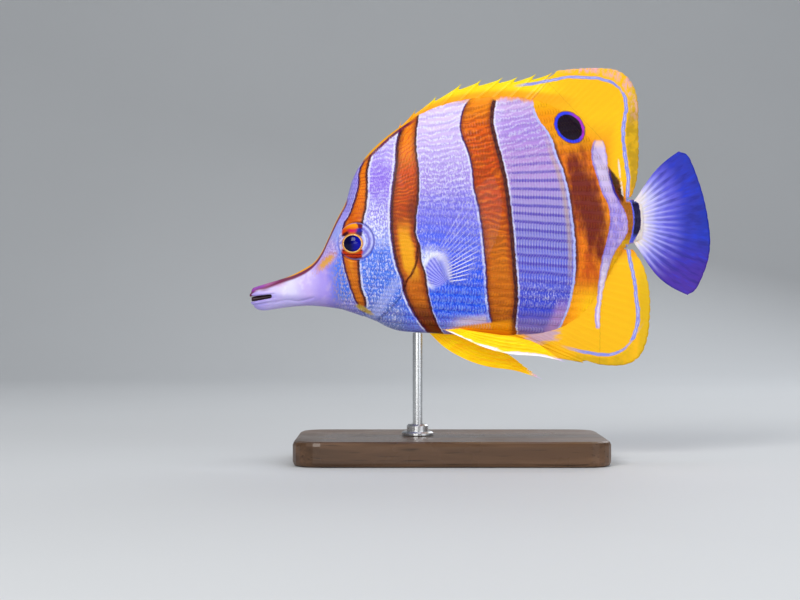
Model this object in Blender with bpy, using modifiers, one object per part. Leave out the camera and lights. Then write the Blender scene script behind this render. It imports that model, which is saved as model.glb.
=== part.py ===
"""Copperband butterflyfish, life size, held on a plain display stand.

The fish faces -X with its left side towards -Y, and +Z is up. Sizes below are in millimetres, and
every mesh is written in metres. The flesh is one lofted solid that thin cuts part into its regions.
The fins are blades whose rays are ridges raised in their own surface, trimmed by the flesh.
"""

import math

import bmesh
import bpy
from mathutils import Matrix, Vector

MM = 0.001
GAP = 0.3
WELD = 1e-4

# The flesh, from the snout's tip to the tail: the section's top point and bottom point (x, z), its
# half width, and how pointed its upper and lower halves are (1 is an ellipse, more is a keel).
SECTIONS = [
    ((-74.9, 54.2), (-74.3, 50.8), 1.0, 0.9, 0.9),
    ((-74.2, 55.8), (-73.5, 49.5), 2.1, 0.9, 0.9),
    ((-72.6, 56.5), (-72.0, 48.7), 2.6, 0.9, 0.9),
    ((-70.0, 57.3), (-69.6, 48.6), 2.4, 0.9, 0.9),
    ((-66.0, 58.5), (-65.6, 49.2), 2.7, 0.9, 0.9),
    ((-61.7, 60.0), (-61.0, 49.8), 3.1, 0.95, 0.9),
    ((-57.4, 62.2), (-56.0, 50.1), 3.8, 1.0, 0.9),
    ((-54.2, 64.4), (-52.2, 49.9), 4.6, 1.0, 0.9),
    ((-51.8, 67.6), (-48.8, 49.5), 5.4, 1.0, 0.9),
    ((-49.6, 72.2), (-45.2, 48.8), 6.4, 1.0, 0.9),
    ((-47.0, 78.1), (-41.6, 47.7), 7.4, 1.05, 0.9),
    ((-44.1, 84.0), (-38.0, 46.6), 8.3, 1.1, 0.9),
    ((-41.9, 91.2), (-34.2, 45.0), 9.0, 1.15, 0.9),
    ((-38.4, 97.6), (-30.6, 43.1), 9.6, 1.2, 0.9),
    ((-33.3, 103.1), (-26.6, 41.8), 10.0, 1.25, 0.9),
    ((-26.8, 108.2), (-21.6, 41.3), 10.3, 1.3, 0.9),
    ((-19.6, 112.8), (-16.2, 41.0), 10.4, 1.35, 0.9),
    ((-11.0, 116.2), (-9.6, 40.6), 10.3, 1.4, 0.95),
    ((-0.5, 118.2), (-0.5, 40.3), 9.9, 1.45, 1.05),
    ((10.5, 118.7), (10.5, 40.3), 9.1, 1.5, 1.2),
    ((20.0, 117.0), (20.0, 40.9), 8.0, 1.55, 1.35),
    ((28.0, 112.8), (27.6, 43.2), 6.8, 1.6, 1.5),
    ((34.6, 106.2), (33.8, 47.8), 5.6, 1.6, 1.55),
    ((40.0, 97.4), (39.4, 55.4), 4.5, 1.5, 1.5),
    ((44.4, 89.0), (44.2, 64.4), 3.6, 1.3, 1.3),
    ((47.6, 84.9), (47.6, 69.4), 2.9, 1.1, 1.1),
    ((50.2, 84.2), (50.2, 70.6), 2.1, 1.0, 1.0),
    ((52.6, 83.6), (52.6, 71.4), 1.3, 1.0, 1.0),
]
EDGE_HALF = 0.9  # half thickness of the keel where a median fin leaves the flesh
RING_POINTS = 28
STATIONS_PER_SECTION = 2
CUT_REACH = 30.0  # how far to each side a cutter runs
CURVE_STEPS = 24
SEARCH_STEPS = 40
SHARP_ANGLE = 40.0

# The tail swings a little to the fish's right
SWAY_START = 18.0
SWAY_AT_TAIL = 4.5
TAIL_END = 75.2

# Where the thin cuts run, as points (x, z) from top to bottom
MOUTH_CORNER = (-67.8, 53.2)
MOUTH_OPEN = 1.35
MOUTH_SLOPE = 0.14
MOUTH_REACH = 10.0
LIP_HALF = 0.5
LIP_SUNK = 0.18
LIP_TIP_X = -74.45
LIP_POINTS = 14
LIP_ROUND = 5.0
LIP_SPREAD = 1.6  # how the lip's points crowd towards the snout's tip
LIP_SIDES = 2
JAW_CUT = [(-66.3, 62.0), (-66.9, 55.0), (-66.4, 50.5), (-64.0, 45.0)]
SNOUT_CUT = [(-55.0, 68.0), (-53.4, 60.0), (-51.4, 52.0), (-50.4, 46.0)]
GILL_EDGE = [
    (-22.0, 75.4), (-20.9, 71.4), (-20.8, 66.6), (-21.8, 61.9), (-24.6, 57.4), (-26.0, 53.6),
    (-28.9, 50.0), (-33.7, 45.3),
]
NECK_CUT = [(-26.6, 117.0), (-25.4, 102.0), (-24.0, 88.0)] + GILL_EDGE + [(-37.0, 41.0)]
TAIL_CUT = [(41.2, 101.0), (44.6, 87.0), (45.4, 77.0), (44.6, 67.5), (41.0, 53.0)]

# Gill cover plates: the front edge from top to bottom, and how far back their cutter runs
COVER_FRONT = [(-21.0, 77.2), (-26.6, 77.4), (-30.6, 73.6), (-32.6, 64.6), (-36.4, 53.6), (-38.2, 40.0)]
COVER_BACK_X = -15.0
COVER_POINTS = 14
COVER_THICKNESS = 1.8
COVER_INNER_Y = 1.3
COVER_ROWS = (8, 18)

# Eyes, whose axis turns only part of the way to the flank's own slope, and nostrils
EYE_CENTRE = (-40.6, 70.9)
EYE_RADIUS = 6.1
EYE_DEPTH = 2.8
EYE_SUNK = 1.3
EYE_SLOPE = 0.7
RIM_RADIUS = 6.35
RIM_HALF = 0.65
RIM_LIFT = 0.85
EYE_SEGMENTS = (22, 11)
RIM_SEGMENTS = (26, 6)
NOSTRILS = [(-49.2, 69.0), (-47.9, 66.9)]
NOSTRIL_RADIUS = 0.55

# What the fins share: half thicknesses at root and margin, and how far a ray or spine stands out
FIN_THICK = (0.65, 0.26)
RAY_RIDGE = 0.32
RAY_FADE = 0.6
RAY_ARCH = 1.4
RAY_SCALLOP = 0.35
RAY_TAPER = 0.8
SPINE_HALF = 0.5
MEMBRANE_STEPS = ((0.16, 1.0), (0.55, 0.75), (0.88, 0.4))  # way to the next spine, share of the notch

# Dorsal fin: each spine's root and tip (x, z)
DORSAL_SPINES = [
    ((-27.6, 105.6), (-25.7, 110.6)), ((-25.2, 107.4), (-21.0, 114.3)),
    ((-20.6, 110.2), (-14.3, 118.4)), ((-14.4, 113.0), (-6.2, 122.4)),
    ((-8.4, 114.8), (0.2, 123.6)), ((-2.6, 116.0), (7.2, 124.4)),
    ((3.0, 116.6), (12.0, 124.6)), ((8.4, 116.6), (18.0, 125.5)), ((13.8, 116.0), (23.2, 126.0)),
]
DORSAL_NOTCH = 2.5
DORSAL_SPLIT = 0.5
SPINY_ROWS = 4
SOFT_DORSAL_ROOT = [(15.2, 115.6), (22.0, 113.6), (29.6, 108.4), (36.6, 98.6), (42.0, 88.0), (45.4, 84.2)]
SOFT_DORSAL_MARGIN = [
    (24.8, 126.6), (31.6, 127.3), (38.4, 127.5), (44.6, 126.7), (49.0, 123.2), (51.2, 117.2),
    (51.4, 108.0), (51.5, 98.5), (50.9, 91.2), (49.2, 85.8),
]
SOFT_DORSAL_RAYS = 28
SOFT_ROWS = 5

# Anal fin: three spines, then soft rays
ANAL_SPINES = [((-4.0, 42.4), (8.0, 36.6)), ((1.6, 42.4), (21.0, 33.5)), ((7.2, 42.4), (33.6, 31.5))]
ANAL_NOTCH = 0.9
ANAL_ROOT = [(10.6, 42.4), (20.0, 43.2), (28.0, 46.6), (34.6, 54.0), (40.4, 63.0), (45.0, 68.6)]
ANAL_MARGIN = [
    (34.6, 32.2), (39.4, 30.9), (46.4, 30.8), (51.4, 33.2), (54.2, 38.6), (55.2, 46.0),
    (55.1, 54.6), (53.3, 62.6), (49.8, 68.4),
]
ANAL_RAYS = 20

# Tail fin
TAIL_ROOT = [(48.6, 82.6), (49.4, 77.4), (48.6, 72.2)]
TAIL_MARGIN = [
    (65.8, 101.7), (68.4, 98.4), (71.4, 91.0), (73.8, 82.6), (75.2, 73.6), (74.8, 66.2),
    (72.4, 59.0), (68.8, 52.6),
]
TAIL_BULGES = (1.5, 2.6)  # of the top and the bottom edge
TAIL_BULGE_RUN = (0.8, 0.6)  # how much of a bulge goes forward and outward
TAIL_ROOT_SWELL = 0.5
TAIL_RAYS = 17
TAIL_ROWS = 6

# Pectoral fins: the fleshy lobe's root on the flank, where the rays begin, and the margin
PECTORAL_ROOT = [(-18.0, 66.4), (-13.2, 56.6)]
PECTORAL_RAY_ROOT = [(-14.6, 68.4), (-11.8, 63.2), (-10.2, 57.6)]
PECTORAL_MARGIN = [(3.2, 92.0), (5.9, 84.6), (5.5, 75.2), (2.2, 66.2), (-3.4, 57.8)]
PECTORAL_BULGE = 2.0
PECTORAL_RAYS = 14
PECTORAL_SUNK = 1.6
PECTORAL_STAND_OFF = 1.5
PECTORAL_SPREAD = 5.4
PECTORAL_ROOT_HALF = 0.9
PECTORAL_LOBE_HALF = 0.7
PECTORAL_RAY_HALF = 0.5
PECTORAL_RIDGE = 0.22

# Pelvic fins (leading edge, trailing edge and rear margin, all from the root out): the left one
# lies back along the belly and the right one hangs lower
PELVIC_LEFT = {
    "side": -1,
    "lead": [(-13.4, 43.0), (-6.8, 40.1), (0.7, 36.8), (9.0, 34.6), (19.0, 33.8), (27.2, 32.0)],
    "trail": [(-10.6, 43.6), (-4.0, 42.2), (4.0, 41.0), (12.0, 39.8), (17.4, 38.2), (21.6, 35.6)],
    "root_y": 2.4,
    "tip_y": 5.2,
}
PELVIC_RIGHT = {
    "side": 1,
    "lead": [(-17.8, 42.4), (-11.8, 36.6), (-4.8, 32.6), (2.4, 30.2), (11.6, 28.8), (20.4, 26.0)],
    "trail": [(-13.0, 43.2), (-7.0, 40.2), (-1.4, 37.8), (4.0, 36.2), (8.8, 34.4), (12.6, 31.8)],
    "root_y": 2.4,
    "tip_y": 6.4,
}
PELVIC_RAYS = 6
PELVIC_ROWS = 6
PELVIC_SPINE_HALF = 0.5
PELVIC_NOTCH = 0.8

# Display stand
BASE_SIZE = (100.0, 60.0, 8.0)
BASE_CENTRE_X = -10.0
BASE_CORNER = 9.0
CORNER_STEPS = 6
BASE_BEVEL = 1.4
ROD_X = -20.6
ROD_RADIUS = 1.6
ROD_SUNK = 4.0
ROD_TOP = 46.0
ROD_SIDES = 20
COLLAR_RADIUS = 5.2
COLLAR_HEIGHT = 3.4
COLLAR_FOOT = 1.1
COLLAR_WALL = 1.6
COLLAR_EASE = 0.5
COLLAR_SIDES = 24

PAINT = {
    "white": ((0.72, 0.74, 0.95), 0.35, 0.0),
    "orange": ((0.85, 0.33, 0.03), 0.4, 0.0),
    "yellow": ((0.98, 0.72, 0.02), 0.4, 0.0),
    "clear": ((0.80, 0.84, 1.0), 0.3, 0.0),
    "tail": ((0.45, 0.48, 0.95), 0.35, 0.0),
    "eye": ((0.05, 0.04, 0.12), 0.1, 0.0),
    "wood": ((0.10, 0.055, 0.03), 0.35, 0.0),
    "steel": ((0.70, 0.71, 0.72), 0.25, 1.0),
}


def catmull_rom(values, t):
    """The smooth curve through values (numbers or points), at t counted in rows."""
    last = len(values) - 1
    i = min(int(t), last - 1)
    f = t - i
    picked = [values[max(0, min(last, k))] for k in (i - 1, i, i + 1, i + 2)]
    weights = (
        ((-f + 2) * f - 1) * f / 2,
        ((3 * f - 5) * f * f + 2) / 2,
        ((-3 * f + 4) * f + 1) * f / 2,
        (f - 1) * f * f / 2,
    )
    if isinstance(picked[0], (int, float)):
        return sum(w * v for w, v in zip(weights, picked))
    return tuple(sum(w * v[k] for w, v in zip(weights, picked)) for k in range(len(picked[0])))


def spaced(points, count):
    """count points at equal steps along the smooth curve through points."""
    steps = CURVE_STEPS * (len(points) - 1)
    fine = [Vector(catmull_rom(points, k * (len(points) - 1) / steps)) for k in range(steps + 1)]
    run = [0.0]
    for a, b in zip(fine, fine[1:]):
        run.append(run[-1] + (b - a).length)
    result = []
    for k in range(count):
        wanted = run[-1] * k / (count - 1)
        j = next(n for n in range(1, len(run)) if run[n] >= wanted - 1e-9)
        share = (wanted - run[j - 1]) / max(run[j] - run[j - 1], 1e-9)
        result.append(tuple(fine[j - 1].lerp(fine[j], share)))
    return result


def sway(x):
    """How far the body's middle plane lies to the fish's right at x."""
    reach = max(0.0, x - SWAY_START) / (TAIL_END - SWAY_START)
    return SWAY_AT_TAIL * reach * reach


def section_at(t, grow=0.0):
    """Top point, bottom point, half width and keel powers of the flesh at row t, grown outwards."""
    top, bottom, half, top_power, bottom_power = (
        catmull_rom([row[k] for row in SECTIONS], t) for k in range(5)
    )
    line = (Vector(top) - Vector(bottom)).normalized() * grow
    ahead = Vector(({0: -grow, len(SECTIONS) - 1: grow}.get(t, 0.0), 0.0))
    return Vector(top) + line + ahead, Vector(bottom) - line + ahead, half + grow, top_power, bottom_power


def half_at(share, half, top_power, bottom_power, edge):
    """The flesh's half width at share of the way down a section."""
    sine = 2 * math.sqrt(max(0.0, share * (1 - share)))
    power = top_power + (bottom_power - top_power) * share * share * (3 - 2 * share)
    return math.hypot(half * sine**power, edge * sine)


def surface_y(x, z):
    """The flesh's half width at a point of the side view."""
    point = Vector((x, z))

    def ahead(t):
        top, bottom = section_at(t)[:2]
        line = bottom - top
        return line.x * (point.y - top.y) - line.y * (point.x - top.x)

    low, high = 0.0, len(SECTIONS) - 1.0
    for _ in range(SEARCH_STEPS):
        middle = (low + high) / 2
        if ahead(middle) * ahead(0.0) > 0:
            low = middle
        else:
            high = middle
    top, bottom, half, top_power, bottom_power = section_at(low)
    share = (point - top).dot(bottom - top) / (bottom - top).length_squared
    return half_at(share, half, top_power, bottom_power, EDGE_HALF)


def surface_normal(x, z, side):
    """Which way the flank faces at a point of the side view."""
    step = 0.5
    slope_x = (surface_y(x + step, z) - surface_y(x - step, z)) / (2 * step)
    slope_z = (surface_y(x, z + step) - surface_y(x, z - step)) / (2 * step)
    return Vector((-slope_x, side, -slope_z)).normalized()


def add_object(name, shape, group=None):
    """Turns a bmesh in millimetres into a named object in metres."""
    bmesh.ops.recalc_face_normals(shape, faces=shape.faces)
    mesh = bpy.data.meshes.new(name)
    shape.to_mesh(mesh)
    shape.free()
    mesh.transform(Matrix.Scale(MM, 4))
    obj = bpy.data.objects.new(name, mesh)
    (group or MODEL).objects.link(obj)
    return obj


def finish(obj, paint):
    """Gives a solid its own material and smooth shading."""
    colour, roughness, metallic = PAINT[paint]
    material = bpy.data.materials.new(obj.name)
    material.use_nodes = True
    shader = material.node_tree.nodes["Principled BSDF"]
    shader.inputs["Base Color"].default_value = (*colour, 1.0)
    shader.inputs["Roughness"].default_value = roughness
    shader.inputs["Metallic"].default_value = metallic
    obj.data.materials.clear()
    obj.data.materials.append(material)
    obj.data.shade_smooth()
    obj.data.set_sharp_from_angle(angle=math.radians(SHARP_ANGLE))
    return obj


def flesh_loft(name, grow=0.0, first=0, last=None):
    """The whole flesh, or its rows first to last, as one closed loft between unlike sections."""
    last = len(SECTIONS) - 1 if last is None else last
    shape = bmesh.new()
    rings = []
    for k in range((last - first) * STATIONS_PER_SECTION + 1):
        top, bottom, half, top_power, bottom_power = section_at(first + k / STATIONS_PER_SECTION, grow)
        ring = []
        for j in range(RING_POINTS):
            turn = 2 * math.pi * j / RING_POINTS
            share = (1 - math.cos(turn)) / 2
            place = top.lerp(bottom, share)
            y = half_at(share, half, top_power, bottom_power, EDGE_HALF + grow)
            y = math.copysign(y, -math.sin(turn)) if 0 < j != RING_POINTS / 2 else 0.0
            ring.append(shape.verts.new((place.x, y + sway(place.x), place.y)))
        rings.append(ring)
    for ring, following in zip(rings, rings[1:]):
        for k in range(RING_POINTS):
            n = (k + 1) % RING_POINTS
            shape.faces.new((ring[k], ring[n], following[n], following[k]))
    shape.faces.new(rings[0])
    shape.faces.new(rings[-1])
    return add_object(name, shape)


def solid_from_curve(guide):
    """Turns a curve object, sized in millimetres, into a closed mesh object in metres."""
    name = guide.name
    CUTTERS.objects.link(guide)
    bpy.context.view_layer.update()
    graph = bpy.context.evaluated_depsgraph_get()
    shape = bmesh.new()
    shape.from_mesh(bpy.data.meshes.new_from_object(guide.evaluated_get(graph)))
    bmesh.ops.remove_doubles(shape, verts=shape.verts, dist=WELD)
    bmesh.ops.transform(shape, matrix=guide.matrix_world, verts=shape.verts)
    bpy.data.objects.remove(guide)
    return add_object(name, shape, CUTTERS)


def prism(name, outline, low_y, high_y):
    """A flat outline (x, z) run from low_y to high_y."""
    curve = bpy.data.curves.new(name, "CURVE")
    curve.dimensions = "2D"
    curve.fill_mode = "BOTH"
    curve.extrude = abs(high_y - low_y) / 2
    spline = curve.splines.new("POLY")
    spline.points.add(len(outline) - 1)
    spline.use_cyclic_u = True
    for point, (x, z) in zip(spline.points, outline):
        point.co = (x, z, 0.0, 1.0)
    guide = bpy.data.objects.new(name, curve)
    guide.location.y = (low_y + high_y) / 2
    guide.rotation_euler.x = math.pi / 2
    return solid_from_curve(guide)


def grown(outline, distance):
    """A closed outline moved outwards by distance at each corner."""
    turning = sum(a[0] * b[1] - b[0] * a[1] for a, b in zip(outline, outline[1:] + outline[:1]))
    side = distance if turning > 0 else -distance
    result = []
    for k, corner in enumerate(outline):
        before = (Vector(corner) - Vector(outline[k - 1])).normalized()
        after = (Vector(outline[(k + 1) % len(outline)]) - Vector(corner)).normalized()
        out = Vector((before.y + after.y, -before.x - after.x)).normalized()
        result.append(tuple(Vector(corner) + out * side))
    return result


def thin_wall(name, points):
    """A wall GAP thick that follows points (x, z) right across the fish."""
    path = spaced(points, 3 * len(points))
    sides = ([], [])
    for k, point in enumerate(path):
        run = Vector(path[min(k + 1, len(path) - 1)]) - Vector(path[max(k - 1, 0)])
        across = Vector((run.y, -run.x)).normalized() * GAP / 2
        sides[0].append(tuple(Vector(point) + across))
        sides[1].append(tuple(Vector(point) - across))
    return prism(name, sides[0] + sides[1][::-1], -CUT_REACH, CUT_REACH)


def boolean(target, tool, operation, keep_tool=False):
    """Cuts, joins or keeps what two solids share, and applies it at once."""
    modifier = target.modifiers.new(operation.title(), "BOOLEAN")
    modifier.operation = operation
    modifier.object = tool
    bpy.context.view_layer.update()
    graph = bpy.context.evaluated_depsgraph_get()
    mesh = bpy.data.meshes.new_from_object(target.evaluated_get(graph))
    target.modifiers.clear()
    mesh.name = target.name
    target.data = mesh
    if not keep_tool:
        bpy.data.objects.remove(tool)
    return target


def loose_parts(obj):
    """Splits an object into its closed surfaces, each an object of its own."""
    bpy.ops.object.select_all(action="DESELECT")
    obj.select_set(True)
    bpy.context.view_layer.objects.active = obj
    bpy.ops.mesh.separate(type="LOOSE")
    return list(bpy.context.selected_objects)


def reach(obj):
    """The lowest and highest corner of an object, in millimetres."""
    corners = [v.co / MM for v in obj.data.vertices]
    low = Vector(min(c[k] for c in corners) for k in range(3))
    return low, Vector(max(c[k] for c in corners) for k in range(3))


def largest_part(obj):
    """Keeps only an object's largest closed surface."""
    name = obj.name
    parts = loose_parts(obj)
    parts.sort(key=lambda part: (reach(part)[1] - reach(part)[0]).length)
    for scrap in parts[:-1]:
        bpy.data.objects.remove(scrap)
    parts[-1].name = name
    parts[-1].data.name = name
    return parts[-1]


def blade(name, columns, paint):
    """A closed fin from columns of (x, y, z, half thickness), root first, trimmed by the flesh."""
    shape = bmesh.new()
    near, far = (
        [
            [shape.verts.new((x, y + side * half + sway(x), z)) for x, y, z, half in column]
            for column in columns
        ]
        for side in (-1, 1)
    )
    last_column, last_row = len(columns) - 1, len(columns[0]) - 1
    for grid in (near, far):
        for i in range(last_column):
            for j in range(last_row):
                a, b, c, d = grid[i][j], grid[i + 1][j], grid[i + 1][j + 1], grid[i][j + 1]
                shape.faces.new((a, b, c))
                shape.faces.new((a, c, d))
    around = [(i, 0) for i in range(last_column)]
    around += [(last_column, j) for j in range(last_row)]
    around += [(i, last_row) for i in range(last_column, 0, -1)]
    around += [(0, j) for j in range(last_row, 0, -1)]
    for (i, j), (k, m) in zip(around, around[1:] + around[:1]):
        shape.faces.new((near[i][j], near[k][m], far[k][m], far[i][j]))
    fin = boolean(add_object(name, shape), flesh_loft("trim", grow=GAP), "DIFFERENCE")
    return finish(largest_part(fin), paint)


def ray_column(root, tip, rows, thick, ridge, bulge=(0.0, 0.0), y_at=lambda v: 0.0):
    """Points along one ray or the membrane beside it, thinning from the root to the tip."""
    column = []
    for j in range(rows + 1):
        v = j / rows
        arch = math.sin(math.pi * v**RAY_ARCH)
        x = root[0] + (tip[0] - root[0]) * v + bulge[0] * arch
        z = root[1] + (tip[1] - root[1]) * v + bulge[1] * arch
        half = thick[0] + (thick[1] - thick[0]) * v**RAY_TAPER + ridge * (1 - RAY_FADE * v)
        column.append((x, y_at(v), z, half))
    return column


def soft_columns(root_line, margin, rays, rows, bulge_at=lambda u: (0.0, 0.0), swell=0.0):
    """Columns of a soft fin: every second one is a ray, its tip a little past the membrane."""
    count = 2 * rays + 1
    roots, tips = spaced(root_line, count), spaced(margin, count)
    columns = []
    for k in range(count):
        u = k / (count - 1)
        on_ray = k % 2 == 1
        back = Vector(tips[k]) - Vector(roots[k])
        tip = Vector(tips[k]) - back.normalized() * (0.0 if on_ray else RAY_SCALLOP)
        thick = (FIN_THICK[0] + swell * math.sin(math.pi * u), FIN_THICK[1])
        columns.append(ray_column(roots[k], tip, rows, thick, RAY_RIDGE if on_ray else 0.0, bulge_at(u)))
    return columns


def spine_columns(spines, notch, rows, end_root, end_tip):
    """Columns of a spiny fin: on each spine, then its membrane, notched behind the spine's tip."""
    columns = []
    ends = spines[1:] + [(end_root, end_tip)]
    for (root, tip), (next_root, next_tip) in zip(spines, ends):
        root, tip, next_root, next_tip = Vector(root), Vector(tip), Vector(next_root), Vector(next_tip)
        drop = (tip - root).normalized() * notch
        columns.append(ray_column(root, tip, rows, FIN_THICK, SPINE_HALF))
        for step, lowered in MEMBRANE_STEPS:
            edge = tip.lerp(next_tip, step) - drop * lowered
            columns.append(ray_column(root.lerp(next_root, step), edge, rows, FIN_THICK, 0.0))
    return columns


def make_flesh():
    """Parts the loft with thin cuts into jaws, snout, head, body and tail base."""
    whole = flesh_loft("flesh")
    x, z = MOUTH_CORNER
    front_x, back_x = x - MOUTH_REACH, (x + JAW_CUT[1][0]) / 2 + GAP * 2
    front_z = z - MOUTH_SLOPE * MOUTH_REACH
    slit = [
        (back_x, z + GAP / 2), (x, z + GAP / 2), (x - GAP, z + MOUTH_OPEN / 2),
        (front_x, front_z + MOUTH_OPEN / 2), (front_x, front_z - MOUTH_OPEN / 2),
        (x - GAP, z - MOUTH_OPEN / 2), (x, z - GAP / 2), (back_x, z - GAP / 2),
    ]
    boolean(whole, prism("slit", slit, -CUT_REACH, CUT_REACH), "DIFFERENCE")
    for points in (JAW_CUT, SNOUT_CUT, NECK_CUT, TAIL_CUT):
        boolean(whole, thin_wall("cut", points), "DIFFERENCE")
    parts = {}
    for part in loose_parts(whole):
        low, high = reach(part)
        middle_x = (low.x + high.x) / 2
        if middle_x < JAW_CUT[0][0]:
            part.name = "lower_jaw" if high.z < z + MOUTH_OPEN else "upper_jaw"
        elif middle_x < SNOUT_CUT[0][0]:
            part.name = "snout"
        elif middle_x < NECK_CUT[0][0]:
            part.name = "head"
        else:
            part.name = "body" if middle_x < TAIL_CUT[0][0] else "tail_base"
        part.data.name = part.name
        parts[part.name] = part
    return parts


def add_lip(jaw, above):
    """A rounded lip along one jaw's edge of the mouth, from corner to corner round the tip."""
    curve = bpy.data.curves.new("lip", "CURVE")
    curve.dimensions = "3D"
    curve.bevel_depth = LIP_HALF
    curve.bevel_resolution = LIP_SIDES
    curve.use_fill_caps = True
    spline = curve.splines.new("POLY")
    spline.points.add(LIP_POINTS)
    corner_x, corner_z = MOUTH_CORNER
    for k, point in enumerate(spline.points):
        lean = math.cos(math.pi * k / LIP_POINTS)
        x = LIP_TIP_X + (corner_x - LIP_TIP_X) * abs(lean) ** LIP_SPREAD
        middle_z = corner_z - MOUTH_SLOPE * (corner_x - x)
        z = middle_z + (MOUTH_OPEN / 2 + LIP_HALF) * (1 if above else -1)
        y = (surface_y(x, z) - LIP_SUNK) * max(-1.0, min(1.0, LIP_ROUND * lean))
        point.co = (x, y, z, 1.0)
    guide = bpy.data.objects.new("lip", curve)
    boolean(jaw, solid_from_curve(guide), "UNION")


def make_gill_covers(head):
    """Lifts each gill cover out of the head as its own plate."""
    front = spaced(COVER_FRONT, COVER_POINTS)
    outline = front + [(COVER_BACK_X, front[-1][1]), (COVER_BACK_X, front[0][1])]
    for name, side in (("gill_cover_left", -1), ("gill_cover_right", 1)):
        plate = prism(name, outline, side * COVER_INNER_Y, side * CUT_REACH)
        boolean(plate, head, "INTERSECT", keep_tool=True)
        core = flesh_loft("core", -COVER_THICKNESS, *COVER_ROWS)
        boolean(plate, core, "DIFFERENCE")
        pocket = prism("pocket", grown(outline, GAP), side * (COVER_INNER_Y - GAP), side * CUT_REACH)
        core = flesh_loft("core", -COVER_THICKNESS - GAP, *COVER_ROWS)
        boolean(pocket, core, "DIFFERENCE")
        boolean(head, pocket, "DIFFERENCE")
        MODEL.objects.link(plate)
        CUTTERS.objects.unlink(plate)
        finish(largest_part(plate), "orange")


def eye_matrix(side):
    """The eye's place, its axis turned part of the way to the flank's slope."""
    x, z = EYE_CENTRE
    normal = surface_normal(x, z, side)
    axis = Vector((normal.x * EYE_SLOPE, normal.y, normal.z * EYE_SLOPE)).normalized()
    place = Vector((x, side * surface_y(x, z), z)) - normal * EYE_SUNK
    return Matrix.Translation(place) @ axis.to_track_quat("Z", "Y").to_matrix().to_4x4()


def eye_solid(name, side, grow):
    """A flattened ball in the eye's place."""
    shape = bmesh.new()
    around, across = EYE_SEGMENTS
    bmesh.ops.create_uvsphere(shape, u_segments=around, v_segments=across, radius=1.0)
    wide, deep = EYE_RADIUS + grow, EYE_DEPTH + grow
    bmesh.ops.scale(shape, vec=(wide, wide, deep), verts=shape.verts)
    bmesh.ops.transform(shape, matrix=eye_matrix(side), verts=shape.verts)
    return add_object(name, shape)


def eye_rim(side):
    """The raised ring of skin round an eye."""
    around, across = RIM_SEGMENTS
    bpy.ops.mesh.primitive_torus_add(
        major_segments=around, minor_segments=across, major_radius=RIM_RADIUS * MM, minor_radius=RIM_HALF * MM
    )
    rim = bpy.context.object
    place = eye_matrix(side) @ Matrix.Translation((0.0, 0.0, RIM_LIFT))
    place.translation *= MM
    rim.data.transform(place)
    return rim


def make_face(head):
    """Eye rims, sockets, eyes and nostrils."""
    for name, side in (("eye_left", -1), ("eye_right", 1)):
        boolean(head, eye_rim(side), "UNION")
        boolean(head, eye_solid("socket", side, GAP), "DIFFERENCE")
        finish(eye_solid(name, side, 0.0), "eye")
        for x, z in NOSTRILS:
            shape = bmesh.new()
            bmesh.ops.create_icosphere(shape, subdivisions=1, radius=NOSTRIL_RADIUS)
            bmesh.ops.translate(shape, vec=(x, side * surface_y(x, z), z), verts=shape.verts)
            boolean(head, add_object("nostril", shape), "DIFFERENCE")


def make_median_fins():
    """Dorsal, anal and tail fins, on the fish's middle plane."""
    split = Vector((DORSAL_SPLIT, 0.0))
    root_end, tip_end = Vector(SOFT_DORSAL_ROOT[0]) - split, Vector(SOFT_DORSAL_MARGIN[0]) - split
    spiny = spine_columns(DORSAL_SPINES, DORSAL_NOTCH, SPINY_ROWS, root_end, tip_end)
    blade("dorsal_fin_spiny", spiny, "yellow")
    soft = soft_columns(SOFT_DORSAL_ROOT, SOFT_DORSAL_MARGIN, SOFT_DORSAL_RAYS, SOFT_ROWS)
    blade("dorsal_fin_soft", soft, "yellow")
    anal = spine_columns(ANAL_SPINES, ANAL_NOTCH, SOFT_ROWS, ANAL_ROOT[0], ANAL_MARGIN[0])
    anal += soft_columns(ANAL_ROOT, ANAL_MARGIN, ANAL_RAYS, SOFT_ROWS)
    blade("anal_fin", anal, "yellow")

    def tail_bulge(u):
        lean = 1 - 2 * u
        size = TAIL_BULGES[lean < 0] * abs(lean) ** 3
        return (-size * TAIL_BULGE_RUN[0], size * math.copysign(TAIL_BULGE_RUN[1], lean))

    tail = soft_columns(TAIL_ROOT, TAIL_MARGIN, TAIL_RAYS, TAIL_ROWS, tail_bulge, TAIL_ROOT_SWELL)
    blade("tail_fin", tail, "tail")


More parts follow.
